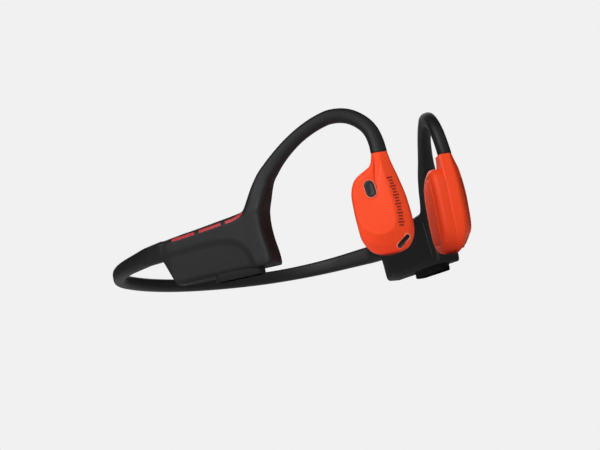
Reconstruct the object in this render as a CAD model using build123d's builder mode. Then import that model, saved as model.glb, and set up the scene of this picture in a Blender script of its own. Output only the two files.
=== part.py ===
"""Bone conduction headphones: neckband, two ear pods, two ear hooks and two transducers.

The wearer faces -Y, the wearer's right side is -X and +Z is up. The headphones stand on z = 0
on the pads under their pods and on the lower ends of their transducers. The right side is built
first, working forward from the neckband's middle, and most of the left side mirrors it.
"""
import os
from math import cos, hypot, radians, sin

from build123d import *

# ---------------------------------------------------------------- driving dimensions, mm, degrees
# neckband centre line: an arc behind the neck, a corner, a straight side and a bend into the pod
BAND_REAR_Y = 58.509
BAND_REAR_Z = 11.8
BAND_TILT = 3.0
REAR_RADIUS = 92.0
REAR_HALF_ANGLE = 21.7
CORNER_RADIUS = 38.0
CORNER_ANGLE = 51.3
SIDE_LENGTH = 10.4
ROOT_RADIUS = 14.0
ROOT_ANGLE = 33.0
BAND_DEEP, BAND_TALL = 3.9, 4.4
BAND_END_DEEP, BAND_END_TALL = 5.0, 6.8
BAND_WIRE = 1.2
BAND_FACING_Y = 10.0

# pods
POD_LENGTH = 38.6
POD_DEPTH = 9.8
SPLIT_OFFSET = 1.1
POD_BOTTOM = 1.2
POD_REAR_FOOT = 4.0
POD_REAR_HEIGHT = 17.6
POD_SLOPE_TOP = 10.7
POD_WAIST_HEIGHT = 20.9
POD_LAND_HEIGHT = 23.6
POD_LAND = 7.6
POD_LAND_GAP = 0.2
POD_CHIN_HEIGHT = 15.0
POD_CHIN_INSET = 1.6
POD_WALL = 1.2
POD_EDGE = 0.9
POD_INNER_EDGE = 2.2
BAND_INSET = 2.7
GASKET = 0.4
GASKET_WIDTH = 0.8

# light bars, seen from the side: distance from the pod's rear face
BAR_SPANS = ((4.6, 13.2), (14.9, 23.2), (24.7, 31.6))
BAR_WIDTH = 1.0
BAR_INSET = 1.1
BAR_DEPTH = 1.5
BAR_REACH = 11.0
LIGHT_BOARD_GAP = 0.9
LIGHT_BOARD_DROP = 4.3
LIGHT_BOARD_SHARE = 0.66
LIGHT_BOARD_WIDTH = 1.6
LIGHT_BOARD_TILT = 4.0
LIGHT_CHIP = (1.6, 0.8, 0.5)
BOARD_THICK = 0.6

# pads under the pods, the volume buttons on the right and the charging contacts on the left
FOOT_PAD_LENGTH = 17.6
FOOT_PAD_WIDTH = 4.4
FOOT_PAD_MIDDLE = 26.0
FOOT_PAD_INSET = 3.4
KEY_LENGTH = 6.4
KEY_WIDTH = 2.4
KEY_PITCH = 7.8
KEY_RECESS = 0.15
KEY_TRAVEL = 0.3
KEY_GAP = 0.1
KEY_HEIGHT = 1.6
KEY_ROUND = 0.3
KEY_WELL = 4.0
KEY_STEM_RADIUS = 0.5
KEY_STEM = 1.1
SWITCH_LONG, SWITCH_WIDE, SWITCH_TALL = 3.0, 2.6, 1.2
SWITCH_SLACK = 0.1
SWITCH_BOARD_WIDTH = 3.2
CONTACT_RADIUS = 1.1
CONTACT_PITCH = 5.0
MAGNET_RADIUS = 1.5
MAGNET_PITCH = 12.4
CONTACT_LENGTH = 2.4
CHARGING_MAGNET_LENGTH = 1.6
CUT_OVER = 0.5
SMALL_CORNER = 0.1

# boards and battery inside the pods
CAVITY_SHARE, CAVITY_HEIGHT = 0.46, 11.4
MAIN_BOARD_LONG, MAIN_BOARD_TALL, MAIN_BOARD_THICK = 24.0, 8.4, 0.8
# place on the board, length and height of each of its chips
MAIN_CHIPS = (((-6.0, 0.8), 5.0, 5.0), ((1.5, -1.0), 4.0, 4.0), ((8.0, 1.2), 3.2, 2.4))
MAIN_CHIP_THICK = 0.9
BATTERY_LONG, BATTERY_TALL, BATTERY_THICK = 25.0, 10.0, 4.6
BATTERY_DEPTH = 3.4
BATTERY_BOARD_LONG, BATTERY_BOARD_TALL = 16.0, 5.0
BATTERY_BOARD_DEPTH = 2.2

# ear hooks: a short leg, a long rise, a broad crown and a tighter bend down to the transducer
HOOK_TOE = 42.3
HOOK_LEAN = 7.0
LEG_ANGLE = 60.0
LEG_LENGTH = 3.9
RISE_RADIUS = 51.4
RISE_ANGLE = 24.0
CROWN_RADIUS = 38.0
CROWN_ANGLE = 17.6
BROW_RADIUS = 12.3
BROW_ANGLE = 103.8
DROP_LENGTH = 3.6
HOOK_THICK = 4.9
HOOK_ROOT_DEEP = 9.2
HOOK_ROOT_LONG = 7.4
HOOK_WIRE = 1.4
# share of the hook's line, depth across the head and length along it, from the pod up
HOOK_TAPER = ((0.09, 7.6, 7.2), (0.18, 6.1, 6.0), (0.29, HOOK_THICK + 0.2, HOOK_THICK + 0.1))
WIRE_CLEARANCE = 0.05
WIRE_TAIL = 5.0

# transducers, in a plane of their own: x forward and y up from the middle of the neck's top
TRANSDUCER_TOE = 38.0
TRANSDUCER_HEIGHT = 33.6
TRANSDUCER_REAR = 11.4
TRANSDUCER_FRONT = 6.6
NECK_WIDTH = 5.3
NECK_DEPTH = 4.7
BEVEL_DEPTH = 2.4
OUTER_SHELL_DEPTH = 7.5
TRANSDUCER_DEPTH = 12.4
SHELL_WALL = 1.2
SEAM = 0.1
PAD_INSET = 1.7
PAD_GAP = 0.25
PAD_THICK = 1.2
PAD_PROUD = 0.4
PAD_CHAMFER = 0.4
INNER_CHAMFER = 0.8
VENT_MIDDLE = (3.1, -30.4)
VENT_TURN = 40.0
VENT_LONG, VENT_WIDE, VENT_DEPTH = 4.8, 1.2, 3.6
MESH_SINK = 0.6
MESH_THICK = 0.5
MICROPHONE_PLACE = (1.0, -29.0)
MICROPHONE_LONG, MICROPHONE_WIDE, MICROPHONE_TALL = 2.6, 1.8, 1.0

# driver: steel cup, magnet, coil, spring plate and the bridge that pushes the pad
DRIVER = (-2.6, -18.6)
DRIVER_LONG, DRIVER_WIDE = 16.0, 10.6
CUP_TOP = 4.4
CUP_DEEP = 3.6
CUP_WALL = 1.0
DRIVER_MAGNET_LONG, DRIVER_MAGNET_WIDE, DRIVER_MAGNET_TALL = 9.6, 4.4, 2.4
COIL_SINK = 1.6
COIL_LONG, COIL_WIDE, COIL_TALL = 12.8, 7.6, 3.2
COIL_WALL = 1.3
SPRING_THICK = 0.4
SPRING_WINDOW_LONG, SPRING_WINDOW_WIDE, SPRING_WINDOW_OFFSET = 9.0, 0.8, 4.2
BRIDGE_LONG, BRIDGE_WIDE = 8.0, 5.0

# function button
BUTTON_LONG, BUTTON_WIDE = 5.4, 3.1
BUTTON_X, BUTTON_Y = -4.9, -12.0
BUTTON_TILT = 8.0
BUTTON_PROUD = 0.1
BUTTON_GAP = 0.1
BUTTON_TRAVEL = 0.4
RING_WIDTH = 0.35
BUTTON_WELL = 5.0
BUTTON_HEIGHT = 1.5
BUTTON_ROUND = 0.35
BUTTON_STEM_RADIUS = 0.6
BUTTON_STEM = 1.0
BUTTON_SWITCH = (2.8, 2.8, 0.7)
BUTTON_BOARD = (7.0, 4.4, 0.5)
BUTTON_SWITCH_DEPTH = 2.9

POD_TOE = REAR_HALF_ANGLE + CORNER_ANGLE + ROOT_ANGLE - 90.0
LAND_DEPTH = POD_DEPTH / 2
POD_SPLIT = LAND_DEPTH + SPLIT_OFFSET


# ------------------------------------------------------------------------------ shared geometry
def side_plane(corner, toe, lean=0.0):
    """Plane on the right side: x runs forward, y up and z out, away from the head."""
    turn = radians(toe)
    tilt = radians(lean)
    outward = (-cos(turn) * cos(tilt), -sin(turn) * cos(tilt), sin(tilt))
    return Plane(origin=corner, x_dir=(sin(turn), -cos(turn), 0), z_dir=outward)


def press(plane, shape, depth, mode=Mode.ADD):
    """Extrude a flat shape, drawn in a plane's own x and y, against the plane's normal."""
    with BuildSketch(plane) as outline:
        add(shape)
    extrude(outline.sketch, amount=-depth, mode=mode)


def slot_shape(centre, length, width, turn=0.0):
    """A slot-shaped outline."""
    with BuildSketch() as shape:
        with Locations(centre):
            SlotOverall(length, width, rotation=turn)
    return shape.sketch


def block_shape(centre, length, width, radius=0.2, turn=0.0):
    """A rectangle with rounded corners."""
    with BuildSketch() as shape:
        with Locations(centre):
            RectangleRounded(length, width, radius, rotation=turn)
    return shape.sketch


def disc_shape(centre, radius):
    """A circle."""
    with BuildSketch() as shape:
        with Locations(centre):
            Circle(radius)
    return shape.sketch


def across(wire, place, outward):
    """Plane square to a wire at a place along it, its x direction lying along outward."""
    tangent = wire % place
    return Plane(origin=wire @ place, x_dir=outward - tangent * outward.dot(tangent), z_dir=tangent)


finished = {}


def finish(name, piece):
    """Label a finished piece, write it and remember it."""
    piece.label = name
    export_step(piece, f"parts/{name}.step")
    finished[name] = piece


os.makedirs("parts", exist_ok=True)

# ------------------------------------------------------------------------------------- neckband
BAND_PLANE = Plane(
    origin=(0, BAND_REAR_Y, BAND_REAR_Z),
    x_dir=(1, 0, 0),
    z_dir=(0, sin(radians(BAND_TILT)), cos(radians(BAND_TILT))),
)

with BuildLine(BAND_PLANE) as rear_line:
    JernArc((0, 0), (-1, 0), REAR_RADIUS, REAR_HALF_ANGLE)
with BuildLine(BAND_PLANE) as side_line:
    corner = JernArc(rear_line.line @ 1, rear_line.line % 1, CORNER_RADIUS, CORNER_ANGLE)
    side = PolarLine(corner @ 1, SIDE_LENGTH, direction=corner % 1)
    JernArc(side @ 1, side % 1, ROOT_RADIUS, ROOT_ANGLE)

rear_path = rear_line.wires()[0]
side_path = side_line.wires()[0]
band_end = side_path @ 1

# the pod's outer face, its lower rear corner at the plane's origin
outwards = side_plane((0, 0, 0), POD_TOE).z_dir
POD_FACE = side_plane(
    (band_end.X + BAND_INSET * outwards.X, band_end.Y + BAND_INSET * outwards.Y, 0), POD_TOE
)
POD_REAR_FACE = Plane(origin=band_end, x_dir=outwards, z_dir=POD_FACE.x_dir)


def band_section(place):
    """Half depth and half height of the sleeve, growing from the corner's start to the pod."""
    share = max(0.0, place) ** 2
    deep = BAND_DEEP + (BAND_END_DEEP - BAND_DEEP) * share
    tall = BAND_TALL + (BAND_END_TALL - BAND_TALL) * share
    return deep / 2, tall / 2


with BuildPart() as neckband_rear_sleeve:
    with BuildSketch(across(rear_path, 0, Vector(0, 1, 0))):
        Ellipse(BAND_DEEP / 2, BAND_TALL / 2)
        Circle(BAND_WIRE / 2 + WIRE_CLEARANCE, mode=Mode.SUBTRACT)
    sweep(path=rear_path)
    mirror(about=Plane.YZ)
finish("neckband_rear_sleeve", neckband_rear_sleeve.part)

with BuildPart() as neckband_sleeve_right:
    for place in (0.0, 0.2, 0.4, 0.6, 0.8):
        point = side_path @ place
        away = Vector(point.X, point.Y - BAND_FACING_Y, 0).normalized()
        with BuildSketch(across(side_path, place, away)):
            Ellipse(*band_section(place))
    with BuildSketch(POD_REAR_FACE):
        Ellipse(*band_section(1.0))
    loft()
    with BuildSketch(across(side_path, 0, Vector(0, 1, 0))):
        Circle(BAND_WIRE / 2 + WIRE_CLEARANCE)
    sweep(path=side_path, mode=Mode.SUBTRACT)
finish("neckband_sleeve_right", neckband_sleeve_right.part)

with BuildPart() as neckband_wire:
    with BuildSketch(across(rear_path, 0, Vector(0, 1, 0))):
        Circle(BAND_WIRE / 2)
    sweep(path=rear_path)
    with BuildSketch(across(side_path, 0, Vector(0, 1, 0))):
        Circle(BAND_WIRE / 2)
    sweep(path=side_path)
    with BuildSketch(across(side_path, 1, outwards)):
        Circle(BAND_WIRE / 2)
    extrude(amount=WIRE_TAIL)
    mirror(about=Plane.YZ)
finish("neckband_wire", neckband_wire.part)

# ------------------------------------------------------------------------------------------ pods
LAND_MIDDLE = POD_LENGTH - POD_LAND_GAP - POD_LAND / 2


def pod_outline(inset=0.0):
    """Side view of a pod, inset all round: a sloping rear end, a top that climbs to the hook."""
    slope = POD_REAR_FOOT / (POD_SLOPE_TOP - POD_BOTTOM)
    land_rear = LAND_MIDDLE - POD_LAND / 2
    land_front = LAND_MIDDLE + POD_LAND / 2
    low = POD_BOTTOM + inset
    high = POD_LAND_HEIGHT - inset
    rear_shift = inset * (hypot(1, slope) - slope)
    with BuildSketch() as outline:
        with BuildLine():
            foot = Line((POD_REAR_FOOT + rear_shift, low), (inset, POD_SLOPE_TOP + 0.2 * inset))
            rear = Line(foot @ 1, (inset, POD_REAR_HEIGHT - inset))
            top = Spline(
                rear @ 1,
                (0.45 * POD_LENGTH, POD_WAIST_HEIGHT - 1.6 - inset),
                (0.66 * POD_LENGTH + 0.1 * inset, POD_WAIST_HEIGHT - 0.2 - inset),
                (land_rear + 0.7 * inset, high),
                tangents=((1, 0.09), (0.5, 1)),
            )
            land = Line(top @ 1, (land_front - inset, high))
            front = Spline(
                land @ 1,
                (POD_LENGTH - POD_CHIN_INSET - inset, POD_CHIN_HEIGHT),
                (POD_LENGTH - inset, low),
                tangents=((-0.1, -1), (0.05, -1)),
            )
            Line(front @ 1, foot @ 0)
        make_face()
    return outline.sketch


def pod_ring(outer_inset, inner_inset):
    """The band between two insets of the pod's outline."""
    with BuildSketch() as ring:
        add(pod_outline(outer_inset))
        add(pod_outline(inner_inset), mode=Mode.SUBTRACT)
    return ring.sketch


def edge_faces(part, plane):
    """The part's faces in order along the plane's normal."""
    return part.faces().sort_by(Axis(origin=plane.origin, direction=plane.z_dir))


# the ear hook leaves the pod from the land on its top
LAND_POINT = POD_FACE.from_local_coords(Vector(LAND_MIDDLE, POD_LAND_HEIGHT, -LAND_DEPTH))
HOOK_PLANE = side_plane(tuple(LAND_POINT), HOOK_TOE, HOOK_LEAN)
with BuildLine(HOOK_PLANE) as hook_line:
    leg = PolarLine((0, 0), LEG_LENGTH, angle=LEG_ANGLE)
    rise = JernArc(leg @ 1, leg % 1, RISE_RADIUS, -RISE_ANGLE)
    crown = JernArc(rise @ 1, rise % 1, CROWN_RADIUS, -CROWN_ANGLE)
    brow = JernArc(crown @ 1, crown % 1, BROW_RADIUS, -BROW_ANGLE)
    PolarLine(brow @ 1, DROP_LENGTH, direction=brow % 1)
hook_path = hook_line.wires()[0]
hook_end = hook_path @ 1
hook_wire_start = across(hook_path, 0, HOOK_PLANE.z_dir)
hook_wire_end = across(hook_path, 1, HOOK_PLANE.z_dir)


def hook_wire_solid(radius):
    """The hook's wire path as a solid rod, with a tail at each end."""
    with BuildPart() as rod:
        with BuildSketch(hook_wire_start) as section:
            Circle(radius)
        sweep(section.sketch, path=hook_path)
        extrude(section.sketch, amount=-WIRE_TAIL)
        with BuildSketch(hook_wire_end) as section:
            Circle(radius)
        extrude(section.sketch, amount=WIRE_TAIL)
    return rod.part


with BuildPart() as ear_hook_wire_right:
    add(hook_wire_solid(HOOK_WIRE / 2))
finish("ear_hook_wire_right", ear_hook_wire_right.part)

with BuildPart() as ear_hook_sleeve_right:
    land_plane = Plane(origin=LAND_POINT, x_dir=POD_FACE.z_dir, z_dir=(0, 0, 1))
    with BuildSketch(land_plane):
        Ellipse(HOOK_ROOT_DEEP / 2, HOOK_ROOT_LONG / 2)
    for place, deep, long in HOOK_TAPER:
        with BuildSketch(across(hook_path, place, HOOK_PLANE.z_dir)):
            Ellipse(deep / 2, long / 2)
    for place in (0.42, 0.54, 0.66, 0.78, 0.89):
        with BuildSketch(across(hook_path, place, HOOK_PLANE.z_dir)):
            Ellipse(HOOK_THICK / 2, HOOK_THICK / 2)
    flush_x = Vector(HOOK_PLANE.z_dir.X, HOOK_PLANE.z_dir.Y, 0)
    with BuildSketch(Plane(origin=hook_end, x_dir=flush_x, z_dir=(0, 0, -1))):
        Ellipse(HOOK_THICK / 2, HOOK_THICK / 2)
    loft()
    add(hook_wire_solid(HOOK_WIRE / 2 + WIRE_CLEARANCE), mode=Mode.SUBTRACT)
finish("ear_hook_sleeve_right", ear_hook_sleeve_right.part)

# light bars: three stretches of a band that follows the top edge
def bar_shape(clearance=0.0):
    """The three bars, each with a clearance all round."""
    with BuildSketch() as bars:
        for low, high in BAR_SPANS:
            with Locations(((low + high) / 2, POD_WAIST_HEIGHT)):
                Rectangle(high - low + 2 * clearance, BAR_REACH)
        add(pod_ring(BAR_INSET - clearance, BAR_INSET + BAR_WIDTH + clearance), mode=Mode.INTERSECT)
    return bars.sketch


FOOT_PLANE = Plane(
    origin=POD_FACE.from_local_coords(Vector(FOOT_PAD_MIDDLE, 0, -FOOT_PAD_INSET)),
    x_dir=POD_FACE.x_dir,
    z_dir=(0, 0, -1),
)


def outer_shell(side):
    """Outer half of a pod, with its foot pad, light bar slots and wire holes."""
    with BuildPart() as shell:
        press(POD_FACE, pod_outline(), POD_SPLIT)
        chamfer(edge_faces(shell, POD_FACE)[-1].edges(), length=POD_EDGE)
        press(POD_FACE.offset(-POD_WALL), pod_outline(POD_WALL), POD_SPLIT, Mode.SUBTRACT)
        pad = slot_shape((0, 0), FOOT_PAD_LENGTH, FOOT_PAD_WIDTH)
        press(FOOT_PLANE, pad, POD_BOTTOM + POD_WALL / 2)
        bar_slots = bar_shape(SEAM / 2)
        press(POD_FACE.offset(CUT_OVER), bar_slots, BAR_DEPTH + CUT_OVER, Mode.SUBTRACT)
        add(hook_wire_solid(HOOK_WIRE / 2 + WIRE_CLEARANCE), mode=Mode.SUBTRACT)
        with BuildSketch(across(side_path, 1, outwards)) as wire_hole:
            Circle(BAND_WIRE / 2 + WIRE_CLEARANCE)
        extrude(wire_hole.sketch, amount=WIRE_TAIL, mode=Mode.SUBTRACT)
        if side == "right":
            for place in (-KEY_PITCH / 2, KEY_PITCH / 2):
                key_hole = slot_shape((place, 0), KEY_LENGTH + 2 * KEY_GAP, KEY_WIDTH + 2 * KEY_GAP)
                press(FOOT_PLANE.offset(CUT_OVER), key_hole, KEY_WELL, Mode.SUBTRACT)
        else:
            for place in (-CONTACT_PITCH / 2, CONTACT_PITCH / 2):
                well = disc_shape((place, 0), CONTACT_RADIUS)
                press(FOOT_PLANE.offset(CUT_OVER), well, KEY_WELL, Mode.SUBTRACT)
    return shell.part


with BuildPart() as pod_outer_shell_right:
    add(outer_shell("right"))
finish("pod_outer_shell_right", pod_outer_shell_right.part)

with BuildPart() as pod_inner_cover_right:
    cover_depth = POD_DEPTH - POD_SPLIT - GASKET
    press(POD_FACE.offset(-POD_SPLIT - GASKET), pod_outline(), cover_depth)
    chamfer(edge_faces(pod_inner_cover_right, POD_FACE)[0].edges(), length=POD_INNER_EDGE / 2)
    hollow = pod_outline(POD_WALL)
    press(POD_FACE.offset(-POD_SPLIT), hollow, POD_DEPTH - POD_SPLIT - POD_WALL, Mode.SUBTRACT)
finish("pod_inner_cover_right", pod_inner_cover_right.part)

with BuildPart() as pod_gasket_right:
    press(POD_FACE.offset(-POD_SPLIT), pod_ring(SEAM, SEAM + GASKET_WIDTH), GASKET)
finish("pod_gasket_right", pod_gasket_right.part)

with BuildPart() as light_bars_right:
    press(POD_FACE, bar_shape(), BAR_DEPTH)
finish("light_bars_right", light_bars_right.part)

# a narrow board behind the bars carries their light-emitting diodes
with BuildPart() as light_board_right:
    board_place = (0.48 * POD_LENGTH, POD_WAIST_HEIGHT - LIGHT_BOARD_DROP)
    board_plane = POD_FACE.offset(-BAR_DEPTH - LIGHT_BOARD_GAP)
    board_length = LIGHT_BOARD_SHARE * POD_LENGTH
    board = block_shape(board_place, board_length, LIGHT_BOARD_WIDTH, turn=LIGHT_BOARD_TILT)
    press(board_plane, board, BOARD_THICK)
    chip_long, chip_wide, chip_tall = LIGHT_CHIP
    for low, high in BAR_SPANS:
        middle = (low + high) / 2
        chip_height = board_place[1] + (middle - board_place[0]) * sin(radians(LIGHT_BOARD_TILT))
        chip = block_shape((middle, chip_height), chip_long, chip_wide, SMALL_CORNER)
        press(board_plane.offset(chip_tall), chip, chip_tall)
finish("light_board_right", light_board_right.part)

# ------------------------------------------------------------------- volume keys and their switches
for name, place in (("volume_up_button", KEY_PITCH / 2), ("volume_down_button", -KEY_PITCH / 2)):
    with BuildPart() as key:
        cap = slot_shape((place, 0), KEY_LENGTH, KEY_WIDTH)
        press(FOOT_PLANE.offset(-KEY_RECESS), cap, KEY_HEIGHT)
        fillet(edge_faces(key, FOOT_PLANE)[-1].edges(), radius=KEY_ROUND)
        stem = disc_shape((place, 0), KEY_STEM_RADIUS)
        press(FOOT_PLANE.offset(-KEY_RECESS - KEY_HEIGHT), stem, KEY_STEM)
    finish(name, key.part)

SWITCH_TOP = KEY_RECESS + KEY_HEIGHT + KEY_STEM + KEY_TRAVEL + SWITCH_SLACK
with BuildPart() as volume_switches:
    for place in (-KEY_PITCH / 2, KEY_PITCH / 2):
        switch = block_shape((place, 0), SWITCH_LONG, SWITCH_WIDE)
        press(FOOT_PLANE.offset(-SWITCH_TOP), switch, SWITCH_TALL)
finish("volume_switches", volume_switches.part)
with BuildPart() as switch_board:
    board = block_shape((0, 0), 2 * KEY_PITCH, SWITCH_BOARD_WIDTH, 0.5)
    press(FOOT_PLANE.offset(-SWITCH_TOP - SWITCH_TALL), board, BOARD_THICK)
finish("switch_board", switch_board.part)

# -------------------------------------------------------------------------- boards, battery, charging
CAVITY = (CAVITY_SHARE * POD_LENGTH, CAVITY_HEIGHT)
with BuildPart() as main_board:
    board_plane = POD_FACE.offset(-POD_SPLIT)
    board = block_shape(CAVITY, MAIN_BOARD_LONG, MAIN_BOARD_TALL, 1.0)
    press(board_plane, board, MAIN_BOARD_THICK)
    for place, length, width in MAIN_CHIPS:
        spot = (CAVITY[0] + place[0], CAVITY[1] + place[1])
        chip = block_shape(spot, length, width)
        press(board_plane.offset(-MAIN_BOARD_THICK), chip, MAIN_CHIP_THICK)
finish("main_board", main_board.part)

with BuildPart() as right_hand_battery_cell:
    cell = block_shape(CAVITY, BATTERY_LONG, BATTERY_TALL, 0.8)
    press(POD_FACE.offset(-BATTERY_DEPTH), cell, BATTERY_THICK)
with BuildPart() as battery_cell:
    mirror(right_hand_battery_cell.part, about=Plane.YZ)
finish("battery_cell", battery_cell.part)
with BuildPart() as right_hand_battery_board:
    board = block_shape(CAVITY, BATTERY_BOARD_LONG, BATTERY_BOARD_TALL, 0.5)
    press(POD_FACE.offset(-BATTERY_BOARD_DEPTH), board, BOARD_THICK)
with BuildPart() as battery_board:
    mirror(right_hand_battery_board.part, about=Plane.YZ)
finish("battery_board", battery_board.part)
with BuildPart() as right_hand_charging_contacts:
    for place in (-CONTACT_PITCH / 2, CONTACT_PITCH / 2):
        contact = disc_shape((place, 0), CONTACT_RADIUS - SEAM / 2)
        press(FOOT_PLANE.offset(-KEY_RECESS), contact, CONTACT_LENGTH)
with BuildPart() as charging_contacts:
    mirror(right_hand_charging_contacts.part, about=Plane.YZ)
finish("charging_contacts", charging_contacts.part)
with BuildPart() as right_hand_charging_magnets:
    for place in (-MAGNET_PITCH / 2, MAGNET_PITCH / 2):
        magnet = disc_shape((place, 0), MAGNET_RADIUS)
        press(FOOT_PLANE.offset(-POD_BOTTOM - POD_WALL), magnet, CHARGING_MAGNET_LENGTH)
with BuildPart() as charging_magnets:
    mirror(right_hand_charging_magnets.part, about=Plane.YZ)
finish("charging_magnets", charging_magnets.part)

# ------------------------------------------------------------------------------------ transducers
neck_middle = Vector(hook_end.X, hook_end.Y, hook_end.Z)
TRANSDUCER_FACE = side_plane(
    tuple(neck_middle + NECK_DEPTH * side_plane((0, 0, 0), TRANSDUCER_TOE).z_dir), TRANSDUCER_TOE
)


def pear_outline():
    """A transducer's outline: a narrow neck, a rear shoulder and a rounded lower end."""
    low = -TRANSDUCER_HEIGHT
    with BuildSketch() as outline:
        with BuildLine():
            top = Line((NECK_WIDTH / 2, 0), (-NECK_WIDTH / 2, 0))
            rear_side = Spline(
                top @ 1,
                (2.6 - TRANSDUCER_REAR, -7.4),
                (-TRANSDUCER_REAR, -14.4),
                (0.9 - TRANSDUCER_REAR, low + 6.4),
                (-2.2, low),
                tangents=((-0.25, -1), (1, 0)),
            )
            Spline(
                rear_side @ 1,
                (TRANSDUCER_FRONT - 0.9, low + 3.6),
                (TRANSDUCER_FRONT - 0.7, low + 16.0),
                (TRANSDUCER_FRONT - 2.3, -7.6),
                top @ 0,
                tangents=((1, 0), (-0.25, 1)),
            )
        make_face()
    return outline.sketch


def egg_outline(inset=0.0):
    """The same outline closed below the neck, inset all round."""
    rear = inset - TRANSDUCER_REAR
    front = TRANSDUCER_FRONT - inset
    low = inset - TRANSDUCER_HEIGHT
    with BuildSketch() as outline:
        with BuildLine():
            Spline(
                (-1.4, -4.6 - inset),
                (rear + 3.2, -8.0 - 0.5 * inset),
                (rear, -14.8),
                (rear + 0.9, low + 6.4),
                (-2.2, low),
                (front - 0.9, low + 3.6),
                (front - 0.7, low + 16.0),
                (front - 2.4, -8.0 - 0.3 * inset),
                periodic=True,
            )
        make_face()
    return outline.sketch


def flat_outline():
    """The flat outer face, well inside the front and lower edges, so that bevels run round it."""
    rear = -TRANSDUCER_REAR
    low = -TRANSDUCER_HEIGHT
    with BuildSketch() as outline:
        with BuildLine():
            top = Line((-0.7, -0.5), (-2.0, -0.5))
            rear_side = Spline(
                top @ 1,
                (rear + 3.6, -7.5),
                (rear + 0.6, -14.0),
                (rear + 2.0, low + 9.0),
                (-4.6, low + 5.6),
                tangents=((-0.25, -1), (1, 0)),
            )
            Spline(
                rear_side @ 1,
                (0.2, low + 9.0),
                (0.5, low + 16.0),
                (0.0, -9.0),
                top @ 0,
                tangents=((1, 0), (-0.1, 1)),
            )
        make_face()
    return outline.sketch


BUTTON = (BUTTON_X, BUTTON_Y)
BUTTON_TURN = 90.0 + BUTTON_TILT


def transducer_shell(with_button):
    """Outer shell: a flat face, bevels, a straight wall, a solid neck and a hollow inside."""
    with BuildPart() as shell:
        with BuildSketch(TRANSDUCER_FACE) as face_sketch:
            add(flat_outline())
        with BuildSketch(TRANSDUCER_FACE.offset(-BEVEL_DEPTH)) as shoulder_sketch:
            add(pear_outline())
        loft([face_sketch.sketch, shoulder_sketch.sketch], ruled=True)
        press(TRANSDUCER_FACE.offset(-BEVEL_DEPTH), pear_outline(), OUTER_SHELL_DEPTH - BEVEL_DEPTH)
        hollow = egg_outline(SHELL_WALL)
        hollow_top = TRANSDUCER_FACE.offset(-BEVEL_DEPTH - SHELL_WALL)
        press(hollow_top, hollow, OUTER_SHELL_DEPTH, Mode.SUBTRACT)
        add(hook_wire_solid(HOOK_WIRE / 2 + WIRE_CLEARANCE), mode=Mode.SUBTRACT)
        vent = slot_shape(VENT_MIDDLE, VENT_LONG, VENT_WIDE, VENT_TURN)
        press(TRANSDUCER_FACE, vent, VENT_DEPTH, Mode.SUBTRACT)
        if with_button:
            long, wide = BUTTON_LONG + 2 * BUTTON_GAP, BUTTON_WIDE + 2 * BUTTON_GAP
            well = slot_shape(BUTTON, long, wide, BUTTON_TURN)
            press(TRANSDUCER_FACE.offset(CUT_OVER), well, BUTTON_WELL + CUT_OVER, Mode.SUBTRACT)
            ring = slot_shape(BUTTON, long + 2 * RING_WIDTH, wide + 2 * RING_WIDTH, BUTTON_TURN)
            press(TRANSDUCER_FACE.offset(CUT_OVER), ring, CUT_OVER + RING_WIDTH, Mode.SUBTRACT)
    return shell.part


with BuildPart() as transducer_shell_right:
    add(transducer_shell(True))
finish("transducer_shell_right", transducer_shell_right.part)
with BuildPart() as transducer_shell_left:
    mirror(transducer_shell(False), about=Plane.YZ)
finish("transducer_shell_left", transducer_shell_left.part)

INNER_TOP = TRANSDUCER_FACE.offset(-OUTER_SHELL_DEPTH - SEAM)
INNER_DEPTH = TRANSDUCER_DEPTH - OUTER_SHELL_DEPTH - SEAM
with BuildPart() as transducer_inner_shell_right:
    press(INNER_TOP, egg_outline(), INNER_DEPTH - PAD_PROUD)
    chamfer(edge_faces(transducer_inner_shell_right, TRANSDUCER_FACE)[0].edges(), length=INNER_CHAMFER)
    press(INNER_TOP, egg_outline(PAD_INSET), INNER_DEPTH, Mode.SUBTRACT)
finish("transducer_inner_shell_right", transducer_inner_shell_right.part)

with BuildPart() as transducer_pad_right:
    pad_top = TRANSDUCER_FACE.offset(PAD_THICK - TRANSDUCER_DEPTH)
    press(pad_top, egg_outline(PAD_INSET + PAD_GAP), PAD_THICK)
    chamfer(edge_faces(transducer_pad_right, TRANSDUCER_FACE)[0].edges(), length=PAD_CHAMFER)
finish("transducer_pad_right", transducer_pad_right.part)

with BuildPart() as vent_mesh_right:
    mesh = slot_shape(VENT_MIDDLE, VENT_LONG - SEAM, VENT_WIDE - SEAM, VENT_TURN)
    press(TRANSDUCER_FACE.offset(-BEVEL_DEPTH - MESH_SINK), mesh, MESH_THICK)
finish("vent_mesh_right", vent_mesh_right.part)

# the driver: a steel cup holds the magnet, the coil hangs from a spring plate under the pad
SPRING_TOP = CUP_TOP + COIL_SINK + COIL_TALL
BRIDGE_TOP = SPRING_TOP + SPRING_THICK
with BuildPart() as driver_cup_right:
    cup = block_shape(DRIVER, DRIVER_WIDE, DRIVER_LONG, 2.0)
    press(TRANSDUCER_FACE.offset(-CUP_TOP), cup, CUP_DEEP)
    cup_hollow = block_shape(DRIVER, DRIVER_WIDE - 2 * CUP_WALL, DRIVER_LONG - 2 * CUP_WALL, 1.4)
    press(TRANSDUCER_FACE.offset(-CUP_TOP - CUP_WALL), cup_hollow, CUP_DEEP, Mode.SUBTRACT)
finish("driver_cup_right", driver_cup_right.part)
with BuildPart() as driver_magnet_right:
    magnet = block_shape(DRIVER, DRIVER_MAGNET_WIDE, DRIVER_MAGNET_LONG, 0.6)
    press(TRANSDUCER_FACE.offset(-CUP_TOP - CUP_WALL), magnet, DRIVER_MAGNET_TALL)
finish("driver_magnet_right", driver_magnet_right.part)
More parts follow.
